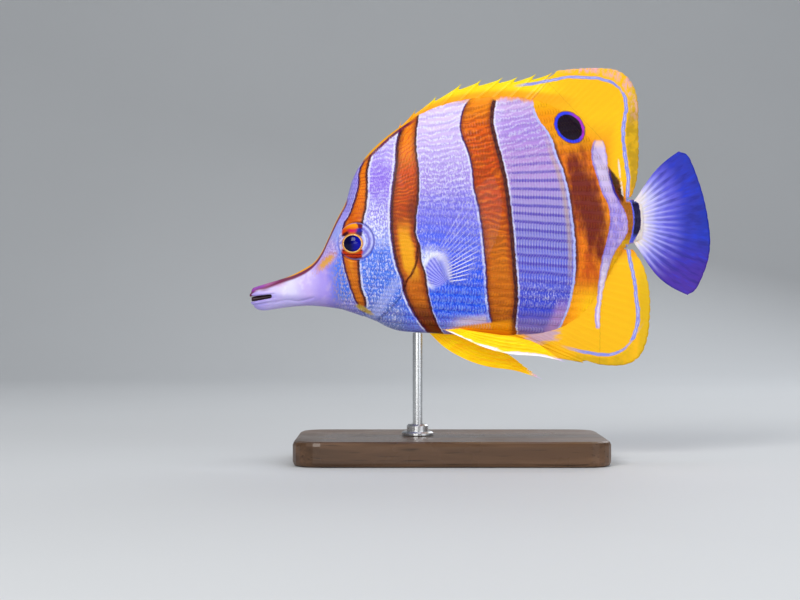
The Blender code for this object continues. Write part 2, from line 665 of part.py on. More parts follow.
def make_pectoral_fins():
    """The side fins: a fleshy lobe on the flank, then rays that fan up and back, off the body."""
    count = 2 * PECTORAL_RAYS + 1
    roots, ray_roots = spaced(PECTORAL_ROOT, count), spaced(PECTORAL_RAY_ROOT, count)
    tips = spaced(PECTORAL_MARGIN, count)
    longest = (Vector(tips[0]) - Vector(ray_roots[0])).length
    for name, side in (("pectoral_fin_left", -1), ("pectoral_fin_right", 1)):
        columns = []
        for k in range(count):
            on_ray = k % 2 == 1
            flank_y = surface_y(*roots[k])
            lobe_y = surface_y(*ray_roots[k]) + PECTORAL_STAND_OFF
            run = Vector(tips[k]) - Vector(ray_roots[k])
            tip = Vector(tips[k]) - run.normalized() * (0.0 if on_ray else RAY_SCALLOP)
            arch = Vector((-run.y, run.x)) / longest * PECTORAL_BULGE * (1 - k / count) ** 2
            out = PECTORAL_SPREAD * run.length / longest
            rays = ray_column(
                ray_roots[k], tip, SOFT_ROWS, (PECTORAL_RAY_HALF, FIN_THICK[1]),
                PECTORAL_RIDGE if on_ray else 0.0, arch, lambda v: side * (lobe_y + out * v),
            )
            middle = (Vector(roots[k]) + Vector(ray_roots[k])) / 2
            columns.append([
                (roots[k][0], side * (flank_y - PECTORAL_SUNK), roots[k][1], PECTORAL_ROOT_HALF),
                (middle.x, side * (flank_y + lobe_y) / 2, middle.y, PECTORAL_LOBE_HALF),
            ] + rays)
        blade(name, columns, "clear")


def make_pelvic_fin(name, form):
    """One pelvic fin: a spine along the leading edge and five soft rays."""
    lead, trail = (spaced(form[edge], PELVIC_ROWS + 1) for edge in ("lead", "trail"))
    count = 2 * PELVIC_RAYS
    columns = []
    for k in range(count):
        on_ray = k % 2 == 0
        ridge = PELVIC_SPINE_HALF if k == 0 else RAY_RIDGE * on_ray
        column = []
        for j in range(PELVIC_ROWS + 1):
            v = j / PELVIC_ROWS
            place = Vector(lead[j]).lerp(Vector(trail[j]), k / (count - 1))
            if not on_ray and j == PELVIC_ROWS:
                place -= (Vector(lead[j]) - Vector(lead[j - 1])).normalized() * PELVIC_NOTCH
            y = form["root_y"] + (form["tip_y"] - form["root_y"]) * math.sin(v * math.pi / 2)
            half = FIN_THICK[0] + (FIN_THICK[1] - FIN_THICK[0]) * v + ridge * (1 - RAY_FADE * v)
            column.append((place.x, form["side"] * y, place.y, half))
        columns.append(column)
    blade(name, columns, "yellow")


def upright_cylinder(name, radius, low, high, group=None):
    """A round bar at the rod's place."""
    shape = bmesh.new()
    bmesh.ops.create_cone(
        shape, cap_ends=True, segments=ROD_SIDES, radius1=radius, radius2=radius, depth=high - low
    )
    bmesh.ops.translate(shape, vec=(ROD_X, 0.0, (low + high) / 2), verts=shape.verts)
    return add_object(name, shape, group)


def make_base():
    """The flat wooden base, with round corners, eased edges and a socket for the rod."""
    shape = bmesh.new()
    bmesh.ops.create_cube(shape, size=1.0)
    bmesh.ops.scale(shape, vec=BASE_SIZE, verts=shape.verts)
    bmesh.ops.translate(shape, vec=(BASE_CENTRE_X, 0.0, BASE_SIZE[2] / 2), verts=shape.verts)
    upright = [e for e in shape.edges if abs(e.verts[0].co.z - e.verts[1].co.z) > GAP]
    bmesh.ops.bevel(
        shape, geom=upright, offset=BASE_CORNER, segments=CORNER_STEPS, profile=0.5, affect="EDGES"
    )
    base = finish(add_object("stand_base", shape), "wood")
    bevel = base.modifiers.new("Eased edge", "BEVEL")
    bevel.width = BASE_BEVEL * MM
    bevel.segments = 2
    bevel.limit_method = "ANGLE"
    floor = BASE_SIZE[2] - ROD_SUNK
    socket = upright_cylinder("rod_socket", ROD_RADIUS + GAP, floor, 2 * BASE_SIZE[2], CUTTERS)
    socket.hide_render = True
    socket.display_type = "WIRE"
    cut = base.modifiers.new("Rod socket", "BOOLEAN")
    cut.operation = "DIFFERENCE"
    cut.object = socket


def make_rod():
    """The steel rod from its socket up to the belly, and the turned collar at its foot."""
    foot = BASE_SIZE[2] - ROD_SUNK + GAP
    rod = upright_cylinder("stand_rod", ROD_RADIUS, foot, ROD_TOP)
    boolean(rod, flesh_loft("trim", grow=GAP), "DIFFERENCE")
    finish(largest_part(rod), "steel")
    low, inner = BASE_SIZE[2] + GAP, ROD_RADIUS + GAP
    high = low + COLLAR_HEIGHT
    outer = inner + COLLAR_WALL
    profile = [
        (inner, high), (outer - COLLAR_EASE, high), (outer, high - COLLAR_EASE), (outer, low + COLLAR_FOOT),
        (COLLAR_RADIUS - COLLAR_EASE, low + COLLAR_FOOT), (COLLAR_RADIUS, low + COLLAR_FOOT - COLLAR_EASE),
        (COLLAR_RADIUS, low), (inner, low),
    ]
    mesh = bpy.data.meshes.new("stand_collar")
    around = [(k, (k + 1) % len(profile)) for k in range(len(profile))]
    mesh.from_pydata([(r * MM, 0.0, z * MM) for r, z in profile], around, [])
    collar = bpy.data.objects.new("stand_collar", mesh)
    collar.location.x = ROD_X * MM
    MODEL.objects.link(collar)
    turned = collar.modifiers.new("Turned profile", "SCREW")
    turned.steps = COLLAR_SIDES
    turned.render_steps = COLLAR_SIDES
    turned.merge_threshold = 1e-6
    finish(collar, "steel")


def main():
    flesh = make_flesh()
    make_gill_covers(flesh["head"])
    make_face(flesh["head"])
    add_lip(flesh["upper_jaw"], above=True)
    add_lip(flesh["lower_jaw"], above=False)
    for name, paint in (
        ("upper_jaw", "white"), ("lower_jaw", "white"), ("snout", "white"), ("head", "white"),
        ("body", "orange"), ("tail_base", "orange"),
    ):
        finish(largest_part(flesh[name]), paint)
    make_median_fins()
    make_pectoral_fins()
    make_pelvic_fin("pelvic_fin_left", PELVIC_LEFT)
    make_pelvic_fin("pelvic_fin_right", PELVIC_RIGHT)
    make_base()
    make_rod()


for old in list(bpy.data.objects):
    bpy.data.objects.remove(old)
MODEL = bpy.data.collections.new("Copperband butterflyfish")
CUTTERS = bpy.data.collections.new("Cutters")
for group in (MODEL, CUTTERS):
    bpy.context.scene.collection.children.link(group)
main()
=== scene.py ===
"""Looks for a life-size model of a copperband butterflyfish on a plain display stand.

The fish faces -X with its left side towards -Y. Sizes are in millimetres until a mesh is made.
The flesh is one skin, with scales laid over it. Two shader groups draw the markings, the flank's
and then the rest, from the place seen from the side, so that skin, scales and fins agree.
"""

import math

import bmesh
import bpy
import numpy as np
from bpy.props import FloatProperty, FloatVectorProperty, IntProperty, PointerProperty
from mathutils import Matrix, Vector


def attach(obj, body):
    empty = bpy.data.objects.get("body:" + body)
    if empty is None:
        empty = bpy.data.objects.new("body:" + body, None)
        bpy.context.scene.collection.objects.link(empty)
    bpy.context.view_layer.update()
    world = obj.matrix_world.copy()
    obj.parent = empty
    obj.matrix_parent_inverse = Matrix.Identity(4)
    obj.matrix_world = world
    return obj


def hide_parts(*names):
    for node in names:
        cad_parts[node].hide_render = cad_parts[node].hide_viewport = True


bl_info = {
    "name": "Copperband butterflyfish model",
    "version": (1, 0, 0),
    "blender": (4, 5, 0),
    "location": "3D View > Sidebar > Butterflyfish",
    "description": "Builds the skin, scales, fins, eyes and display stand of a butterflyfish model",
    "category": "Add Mesh",
}

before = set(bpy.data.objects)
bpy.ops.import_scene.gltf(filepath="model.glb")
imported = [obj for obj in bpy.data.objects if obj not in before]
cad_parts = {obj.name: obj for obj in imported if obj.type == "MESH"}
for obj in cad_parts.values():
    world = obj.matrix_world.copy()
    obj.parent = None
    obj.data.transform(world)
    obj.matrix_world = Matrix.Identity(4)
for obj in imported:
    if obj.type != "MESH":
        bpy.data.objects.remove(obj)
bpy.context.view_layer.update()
MM = 0.001

# Sections of the flesh from snout tip to tail: top x z, bottom x z, half width, upper and lower keel
SECTIONS = np.array([
    (-74.9, 54.2, -74.3, 50.8, 1.0, 0.9, 0.9), (-74.2, 55.8, -73.5, 49.5, 2.1, 0.9, 0.9),
    (-72.6, 56.5, -72.0, 48.7, 2.6, 0.9, 0.9), (-70.0, 57.3, -69.6, 48.6, 2.4, 0.9, 0.9),
    (-66.0, 58.5, -65.6, 49.2, 2.7, 0.9, 0.9), (-61.7, 60.0, -61.0, 49.8, 3.1, 0.95, 0.9),
    (-57.4, 62.2, -56.0, 50.1, 3.8, 1.0, 0.9), (-54.2, 64.4, -52.2, 49.9, 4.6, 1.0, 0.9),
    (-51.8, 67.6, -48.8, 49.5, 5.4, 1.0, 0.9), (-49.6, 72.2, -45.2, 48.8, 6.4, 1.0, 0.9),
    (-47.0, 78.1, -41.6, 47.7, 7.4, 1.05, 0.9), (-44.1, 84.0, -38.0, 46.6, 8.3, 1.1, 0.9),
    (-41.9, 91.2, -34.2, 45.0, 9.0, 1.15, 0.9), (-38.4, 97.6, -30.6, 43.1, 9.6, 1.2, 0.9),
    (-33.3, 103.1, -26.6, 41.8, 10.0, 1.25, 0.9), (-26.8, 108.2, -21.6, 41.3, 10.3, 1.3, 0.9),
    (-19.6, 112.8, -16.2, 41.0, 10.4, 1.35, 0.9), (-11.0, 116.2, -9.6, 40.6, 10.3, 1.4, 0.95),
    (-0.5, 118.2, -0.5, 40.3, 9.9, 1.45, 1.05), (10.5, 118.7, 10.5, 40.3, 9.1, 1.5, 1.2),
    (20.0, 117.0, 20.0, 40.9, 8.0, 1.55, 1.35), (28.0, 112.8, 27.6, 43.2, 6.8, 1.6, 1.5),
    (34.6, 106.2, 33.8, 47.8, 5.6, 1.6, 1.55), (40.0, 97.4, 39.4, 55.4, 4.5, 1.5, 1.5),
    (44.4, 89.0, 44.2, 64.4, 3.6, 1.3, 1.3), (47.6, 84.9, 47.6, 69.4, 2.9, 1.1, 1.1),
    (50.2, 84.2, 50.2, 70.6, 2.1, 1.0, 1.0), (52.6, 83.6, 52.6, 71.4, 1.3, 1.0, 1.0),
])
STEPS = [8, 10, 12, 14, 14, 12, 12, 12, 14, 16, 18, 18, 18, 18, 20, 20, 16, 14, 12, 10, 9, 9, 9, 8, 8, 6, 5]
EDGE_HALF = 0.9
SIDE_POINTS = 140
SWAY_START, SWAY_AT_TAIL, TAIL_END = 18.0, 4.5, 75.2

# Face: mouth, gill cover, eyes and nostrils
MOUTH_CORNER = (-67.8, 53.2)
MOUTH_OPEN, MOUTH_SPREAD, MOUTH_SLOPE, MOUTH_REACH = 1.30, 0.035, 0.14, 10.0
GILL_EDGE = [(-22.0, 75.4), (-20.9, 71.4), (-20.8, 66.6), (-21.8, 61.9), (-24.6, 57.4), (-26.0, 53.6), (-28.9, 50.0),
    (-33.7, 45.3)]
COAT_EDGE = [(-34.0, 104.0), (-24.0, 84.0), *GILL_EDGE, (-37.0, 41.0)]
COVER_FRONT = [(-27.0, 76.8), (-31.0, 73.2), (-33.0, 64.6), (-36.4, 53.6), (-38.2, 47.0)]
SNOUT_CREASE = [(-66.6, 51.2), (-62.5, 51.9), (-59.0, 51.5), (-54.5, 52.6)]
EYE_CENTRE = (-40.6, 70.9)
EYE_RADIUS, EYE_DEPTH, EYE_SUNK, EYE_SLOPE = 6.1, 2.8, 1.3, 0.7
PUPIL_CENTRE = (-41.5, 70.1)
PUPIL_RADII = (2.85, 2.65)
NOSTRILS = [(-49.2, 69.0), (-47.9, 66.9)]

# Fins, as in the solids
DORSAL_SPINES = [((-27.6, 105.6), (-25.7, 110.6)), ((-25.2, 107.4), (-21.0, 114.3)),
    ((-20.6, 110.2), (-14.3, 118.4)), ((-14.4, 113.0), (-6.2, 122.4)), ((-8.4, 114.8), (0.2, 123.6)), ((-2.6, 116.0),
    (7.2, 124.4)), ((3.0, 116.6), (12.0, 124.6)), ((8.4, 116.6), (18.0, 125.5)), ((13.8, 116.0), (23.2, 126.0))]
DORSAL_NOTCH = 3.0
SOFT_DORSAL_ROOT = [(15.2, 115.6), (22.0, 113.6), (29.6, 108.4), (36.6, 98.6), (42.0, 88.0), (45.4, 84.2)]
SOFT_DORSAL_MARGIN = [(24.8, 126.6), (31.6, 127.3), (38.4, 127.5), (44.6, 126.7), (49.0, 123.2), (51.2, 117.2),
    (51.4, 108.0), (51.5, 98.5), (50.9, 91.2), (49.2, 85.8)]
ANAL_SPINES = [((-4.0, 42.4), (8.0, 36.6)), ((1.6, 42.4), (21.0, 33.5)), ((7.2, 42.4), (33.6, 31.5))]
ANAL_NOTCH = 0.9
ANAL_ROOT = [(10.6, 42.4), (20.0, 43.2), (28.0, 46.6), (34.6, 54.0), (40.4, 63.0), (45.0, 68.6)]
ANAL_MARGIN = [(34.6, 32.2), (39.4, 30.9), (46.4, 30.8), (51.4, 33.2), (54.2, 38.6), (55.2, 46.0), (55.1, 54.6),
    (53.3, 62.6), (49.8, 68.4)]
TAIL_ROOT = [(48.6, 82.6), (49.4, 77.4), (48.6, 72.2)]
TAIL_MARGIN = [(65.8, 101.7), (68.4, 98.4), (71.4, 91.0), (73.8, 82.6), (75.2, 73.6), (74.8, 66.2), (72.4, 59.0),
    (68.8, 52.6)]
TAIL_BULGES = (1.5, 2.6)
PECTORAL_ROOT = [(-18.0, 66.4), (-13.2, 56.6)]
PECTORAL_RAY_ROOT = [(-14.6, 68.4), (-11.8, 63.2), (-10.2, 57.6)]
PECTORAL_MARGIN = [(3.2, 92.0), (5.9, 84.6), (5.5, 75.2), (2.2, 66.2), (-3.4, 57.8)]
PELVIC_LEFT = {"side": -1, "root_y": 2.4, "tip_y": 5.2,
    "lead": [(-13.4, 43.0), (-6.8, 40.1), (0.7, 36.8), (9.0, 34.6), (19.0, 33.8),
    (27.2, 32.0)], "trail": [(-10.6, 43.6), (-4.0, 42.2), (4.0, 41.0), (12.0, 39.8), (17.4, 38.2), (21.6, 35.6)]}
PELVIC_RIGHT = {"side": 1, "root_y": 2.4, "tip_y": 6.4,
    "lead": [(-17.8, 42.4), (-11.8, 36.6), (-4.8, 32.6), (2.4, 30.2), (11.6, 28.8),
    (20.4, 26.0)], "trail": [(-13.0, 43.2), (-7.0, 40.2), (-1.4, 37.8), (4.0, 36.2), (8.8, 34.4), (12.6, 31.8)]}

# Edges of the markings, as points (x, z) from top to bottom
BAND_1_FRONT = [(-38.1, 97.3), (-39.9, 93.2), (-39.9, 89.5), (-41.0, 84.7), (-42.6, 80.0), (-44.7, 76.3),
    (-45.1, 70.9), (-44.9, 65.2), (-42.7, 56.6), (-41.9, 54.0), (-38.9, 48.1)]
BAND_1_REAR = [(-34.0, 102.0), (-35.1, 99.8), (-35.6, 98.2), (-36.6, 93.6), (-36.6, 88.8), (-37.1, 81.5),
    (-38.1, 76.7), (-38.7, 56.6), (-37.2, 51.6), (-37.3, 48.1)]
BAND_2_FRONT = [(-26.3, 107.9), (-27.6, 103.0), (-28.1, 95.6), (-29.4, 84.4), (-29.6, 80.7), (-29.4, 73.2),
    (-28.3, 65.7), (-27.4, 62.0), (-26.3, 59.4), (-24.9, 53.4), (-22.7, 48.6), (-21.3, 46.3), (-18.1, 42.2)]
BAND_2_REAR = [(-20.3, 110.5), (-21.0, 103.0), (-20.1, 91.8), (-20.3, 84.4), (-21.2, 74.7), (-21.0, 72.4),
    (-19.9, 69.5), (-19.2, 63.9), (-18.3, 61.6), (-17.1, 53.9), (-14.4, 44.9), (-13.3, 42.9)]
BAND_3_FRONT = [(-0.6, 119.4), (-4.8, 116.0), (-6.3, 112.8), (-7.0, 109.6), (-7.0, 106.7), (-6.3, 103.8),
    (-5.3, 101.4), (-3.5, 94.5), (-2.8, 87.2), (-2.0, 84.5), (0.8, 64.2), (1.8, 51.7), (2.7, 46.2)]
BAND_3_REAR = [(4.7, 115.4), (4.0, 109.6), (4.5, 106.1), (7.9, 91.6), (8.6, 87.2), (11.2, 61.3), (11.8, 52.6),
    (11.2, 43.9), (11.4, 41.8)]
BAND_4_FRONT = [(16.9, 116.5), (17.2, 113.9), (17.9, 111.9), (18.9, 109.9), (22.2, 105.0), (24.8, 97.3),
    (26.2, 93.9), (28.9, 81.2), (30.3, 60.8), (29.6, 54.9), (28.5, 49.8), (26.7, 44.8), (23.2, 38.6)]
STRIPE_FRONT = [(37.0, 104.3), (35.7, 99.5), (36.8, 93.9), (38.1, 89.6), (39.1, 86.5), (40.9, 83.3), (41.6, 79.0),
    (41.2, 74.5), (38.8, 64.3), (38.1, 58.6), (37.8, 52.0), (37.1, 48.3), (37.1, 45.0), (37.6, 42.3)]
STRIPE_REAR = [(39.1, 104.3), (39.8, 103.4), (40.9, 99.2), (41.4, 94.2), (42.3, 89.6), (43.4, 86.1), (45.5, 82.9),
    (46.9, 79.8), (47.6, 76.2), (47.3, 73.8), (45.5, 70.6), (43.7, 68.1), (42.3, 64.9), (41.2, 61.1), (39.2,
    52.0), (38.6, 42.6)]
DORSAL_LINE_REAR = [(44.3, 121.6), (46.2, 119.5), (47.3, 116.5), (46.4, 107.1), (47.0, 99.0), (48.1, 90.9),
    (47.7, 86.1), (47.8, 84.3)]
DORSAL_LINE_TOP = [(11.4, 121.6), (20.9, 123.0), (27.9, 124.5), (30.8, 124.5), (42.4, 122.9), (44.3, 121.6),
    (46.2, 119.5)]
ANAL_LINE_REAR = [(47.6, 70.2), (50.0, 57.9), (51.2, 48.3), (51.1, 45.0), (50.6, 42.1), (49.1, 38.8), (46.6, 36.1)]
ANAL_LINE_FOOT = [(25.7, 37.1), (37.1, 34.5), (40.4, 34.2), (43.6, 34.6), (46.6, 36.1), (49.1, 38.8)]
BROW_LINE = [(-25.0, 108.5), (-29.5, 105.6), (-35.4, 100.8), (-39.9, 93.6), (-46.7, 77.4), (-50.3, 71.2),
    (-59.7, 61.1), (-73.5, 56.3)]
BACK_LINE = [(-33.3, 103.1), (-26.8, 108.2), (-19.6, 112.8), (-11.0, 116.2), (-0.5, 118.2), (10.5, 118.7),
    (20.0, 118.0), (30.0, 117.0)]

# Scale rows: their pitch, how they tilt over the flank, and how wide a scale's patch of the unwrapped skin is
ROW_PITCH, COLUMN_PITCH = 2.7, 0.9
PATCH_SIZE = 0.003
ROW_TILT, ROW_DROP, ROW_PIVOT, TILT_FROM, TILT_TO = 0.25, 0.07, 18.0, 78.0, 108.0

# Camera, and the lights: name, place, size, watts and colour, in metres
CAMERA_PLACE, CAMERA_LENS, CAMERA_SENSOR = (-0.0263, -0.614, 0.052), 85.0, 36.0
LIGHTS_AIM = (-0.01, 0.0, 0.07)
LIGHTS = [("Key", (-0.42, -0.75, 0.62), 0.45, 5.9, (1.0, 0.98, 0.95)),
    ("Fill", (0.62, -0.60, 0.25), 0.6, 2.3, (0.92, 0.95, 1.0)), ("Low", (-0.16, -0.85, 0.06), 0.4, 1.6,
    (1.0, 0.99, 0.97)), ("Top", (0.10, 0.10, 0.85), 0.5, 2.0, (1.0, 1.0, 1.0)), ("Rim", (0.30, 0.60,
    0.45), 0.5, 1.6, (0.95, 0.97, 1.0))]

# Span that a marking's curve covers, from its lowest to its highest x and z
SPAN_X, SPAN_Z = (-80.0, 80.0), (0.0, 130.0)


def smooth_line(points, count):
    """count points at equal steps along the smooth curve through points."""
    rows = np.asarray(points, float)
    t = np.linspace(0, len(rows) - 1, 24 * (len(rows) - 1) + 1)
    fine = catmull_rom(rows, t)
    run = np.concatenate([[0.0], np.cumsum(np.linalg.norm(np.diff(fine, axis=0), axis=1))])
    wanted = np.linspace(0, run[-1], count)
    return np.stack([np.interp(wanted, run, fine[:, k]) for k in range(rows.shape[1])], axis=1)


def catmull_rom(rows, t):
    """Rows of numbers at the fractional row t, along a smooth curve."""
    last = len(rows) - 1
    i = np.clip(np.floor(t).astype(int), 0, last - 1)
    f = (t - i)[..., None]
    a, b, c, d = (rows[np.clip(i + k, 0, last)] for k in (-1, 0, 1, 2))
    return (
        a * ((-f + 2) * f - 1) * f / 2 + b * ((3 * f - 5) * f * f + 2) / 2
        + c * ((-3 * f + 4) * f + 1) * f / 2 + d * (f - 1) * f * f / 2
    )


def smoothstep(value, low, high):
    """0 below low, 1 above high and smooth between."""
    f = np.clip((value - low) / (high - low), 0.0, 1.0)
    return f * f * (3 - 2 * f)


def bump_of(distance, width):
    """A soft bump, 1 where distance is 0."""
    return np.exp(-((distance / width) ** 2))


def sway(x):
    """How far the middle plane lies to the fish's right at x."""
    reach = np.maximum(0.0, x - SWAY_START) / (TAIL_END - SWAY_START)
    return SWAY_AT_TAIL * reach * reach


def flesh_place(t, share, side):
    """Points of the flesh at row t and share of the way down its section, on one side."""
    row = catmull_rom(SECTIONS, t)
    x = row[..., 0] + (row[..., 2] - row[..., 0]) * share
    z = row[..., 1] + (row[..., 3] - row[..., 1]) * share
    sine = 2 * np.sqrt(np.maximum(0.0, share * (1 - share)))
    power = row[..., 5] + (row[..., 6] - row[..., 5]) * share * share * (3 - 2 * share)
    y = np.hypot(row[..., 4] * sine**power, EDGE_HALF * sine) * side
    return np.stack([x, y + sway(x), z], axis=-1)


def flesh_normal(t, share, side):
    """Which way the flesh faces there."""
    step_t, step_s = 0.02, 0.004
    low_t, high_t = np.maximum(t - step_t, 0), np.minimum(t + step_t, len(SECTIONS) - 1)
    low_s, high_s = np.maximum(share - step_s, 1e-4), np.minimum(share + step_s, 1 - 1e-4)
    along = flesh_place(high_t, share, side) - flesh_place(low_t, share, side)
    down = flesh_place(t, high_s, side) - flesh_place(t, low_s, side)
    normal = np.cross(along, down) * np.asarray(side)[..., None]
    return normal / np.maximum(np.linalg.norm(normal, axis=-1, keepdims=True), 1e-9)


def find_place(x, z):
    """The row and share of points of the side view."""
    low, high = np.zeros_like(x), np.full_like(x, len(SECTIONS) - 1.0)
    for _ in range(34):
        middle = (low + high) / 2
        row = catmull_rom(SECTIONS, middle)
        ahead = (row[..., 2] - row[..., 0]) * (z - row[..., 1]) - (row[..., 3] - row[..., 1]) * (x - row[..., 0])
        low, high = np.where(ahead > 0, middle, low), np.where(ahead > 0, high, middle)
    row = catmull_rom(SECTIONS, low)
    line = np.stack([row[..., 2] - row[..., 0], row[..., 3] - row[..., 1]], axis=-1)
    share = ((x - row[..., 0]) * line[..., 0] + (z - row[..., 1]) * line[..., 1]) / (line**2).sum(-1)
    return low, share


def line_distance(x, z, points):
    """Signed distance to a line that runs downwards: positive on its rear side."""
    path = smooth_line(points, 8 * len(points))
    best = np.full(x.shape, 1e9)
    sign = np.ones(x.shape)
    for a, b in zip(path, path[1:]):
        run = b - a
        f = np.clip(((x - a[0]) * run[0] + (z - a[1]) * run[1]) / (run**2).sum(), 0, 1)
        dx, dz = x - a[0] - f * run[0], z - a[1] - f * run[1]
        distance = np.hypot(dx, dz)
        nearer = distance < best
        best = np.where(nearer, distance, best)
        sign = np.where(nearer, np.sign(dx * -run[1] + dz * run[0]), sign)
    return best * sign


def coat_depth(x):
    """How deep the skin lies under the solids, to leave room for the scales."""
    face = smoothstep(x, -50.0, -44.0)
    return 0.05 + 0.17 * face * (1 - smoothstep(x, 46.0, 51.0))


def mouth_half(x):
    """Half the height of the open mouth, which widens towards the tip."""
    return MOUTH_OPEN / 2 + MOUTH_SPREAD * (MOUTH_CORNER[0] - x)


def mouth_gap(x, z):
    """Height above the upper edge, or under the lower edge, of the open mouth."""
    middle = MOUTH_CORNER[1] - MOUTH_SLOPE * (MOUTH_CORNER[0] - x)
    return np.abs(z - middle) - mouth_half(x)


def relief(x, z):
    """Height of the small forms of the face over the plain flesh."""
    height = -coat_depth(x)
    gill = line_distance(x, z, GILL_EDGE)
    open_gill = smoothstep(z, 44.5, 47.0) * (1 - smoothstep(z, 74.0, 76.5))
    height += open_gill * 0.42 * np.where(gill < 0, np.exp(gill / 5.0), -0.75 * np.exp(-gill / 1.3))
    cheek = line_distance(x, z, COVER_FRONT)
    height += open_gill * np.where(cheek < 0, 0.16 * np.exp(cheek / 2.5), -0.18 * np.exp(-cheek / 0.9))
    height -= 0.22 * bump_of(line_distance(x, z, SNOUT_CREASE), 0.42)
    gap = mouth_gap(x, z)
    at_mouth = 1 - smoothstep(x, MOUTH_CORNER[0] - 0.4, MOUTH_CORNER[0] + 1.6)
    height += at_mouth * (0.26 * bump_of(gap - 0.55, 0.45) - 0.35 * bump_of(gap, 0.22))
    height -= at_mouth * 0.1 * bump_of(gap - 1.35, 0.3)
    height -= 0.2 * bump_of(np.hypot(x - MOUTH_CORNER[0] - 0.7, z - MOUTH_CORNER[1]), 0.6)
    for centre_x, centre_z in NOSTRILS:
        far = np.hypot(x - centre_x, z - centre_z)
        height += 0.16 * bump_of(far - 0.62, 0.25) - 0.55 * bump_of(far, 0.36)
    return height


def eye_matrix(side):
    """The eye's place, its axis turned part of the way to the flank's slope."""
    x, z = EYE_CENTRE
    t, share = find_place(np.array([x]), np.array([z]))
    normal = Vector(flesh_normal(t, share, side)[0])
    axis = Vector((normal.x * EYE_SLOPE, normal.y, normal.z * EYE_SLOPE)).normalized()
    place = Vector(flesh_place(t, share, side)[0]) - normal * EYE_SUNK
    return Matrix.Translation(place) @ axis.to_track_quat("Z", "Y").to_matrix().to_4x4()


def shape_eye_socket(points, side):
    """Raises the rim of skin round the eye and sinks the socket under it."""
    matrix = eye_matrix(side)
    inverse = np.array(matrix.inverted())
    local = points @ inverse[:3, :3].T + inverse[:3, 3]
    radius = np.hypot(local[..., 0], local[..., 1])
    near = local[..., 2] > -6.0
    rim = 0.26 * bump_of(radius - 6.7, 0.5) * near
    inside = (1 - smoothstep(radius, 5.65, 6.4)) * near
    ball = EYE_DEPTH * np.sqrt(np.maximum(0.0, 1 - (radius / EYE_RADIUS) ** 2)) - 0.9
    local[..., 2] += rim
    local[..., 2] += inside * (ball - local[..., 2])
    outward = np.array(matrix)
    return local @ outward[:3, :3].T + outward[:3, 3]


def skin_place(t, share, side):
    """Points of the finished skin."""
    place = flesh_place(t, share, side)
    normal = flesh_normal(t, share, side)
    return place + normal * relief(place[..., 0], place[..., 2])[..., None]


def facing_out(obj):
    """Turns a closed piece's faces outwards."""
    shape = bmesh.new()
    shape.from_mesh(obj.data)
    bmesh.ops.recalc_face_normals(shape, faces=shape.faces)
    shape.to_mesh(obj.data)
    shape.free()
    return obj


def ring_faces(rings, around, closed=False):
    """Quads between rings of points, which close on the first ring if asked."""
    faces = []
    for i in range(rings if closed else rings - 1):
        here, beyond = i * around, (i + 1) % rings * around
        faces += [(here + j, here + (j + 1) % around, beyond + (j + 1) % around, beyond + j) for j in range(around)]
    return faces


def circle(count):
    """Angles at equal steps round a circle."""
    return [2 * math.pi * j / count for j in range(count)]


def mesh_object(name, points, faces, material=None):
    """A mesh object from points in millimetres."""
    mesh = bpy.data.meshes.new(name)
    mesh.from_pydata((np.asarray(points, float).reshape(-1, 3) * MM).tolist(), [], faces)
    mesh.update()
    mesh.shade_smooth()
    obj = bpy.data.objects.new(name, mesh)
    bpy.context.scene.collection.objects.link(obj)
    if material:
        mesh.materials.append(material)
    return obj


def applied(obj):
    """Replaces an object's mesh by what its modifiers make of it."""
    bpy.context.view_layer.update()
    graph = bpy.context.evaluated_depsgraph_get()
    mesh = bpy.data.meshes.new_from_object(obj.evaluated_get(graph))
    obj.modifiers.clear()
    mesh.name = obj.name
    obj.data = mesh
    return obj


def piece(obj, slot, *nodes):
    """Puts a finished piece on the model in place of CAD nodes."""
    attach(obj, "root")
    if nodes:
        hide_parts(*nodes)
    return obj


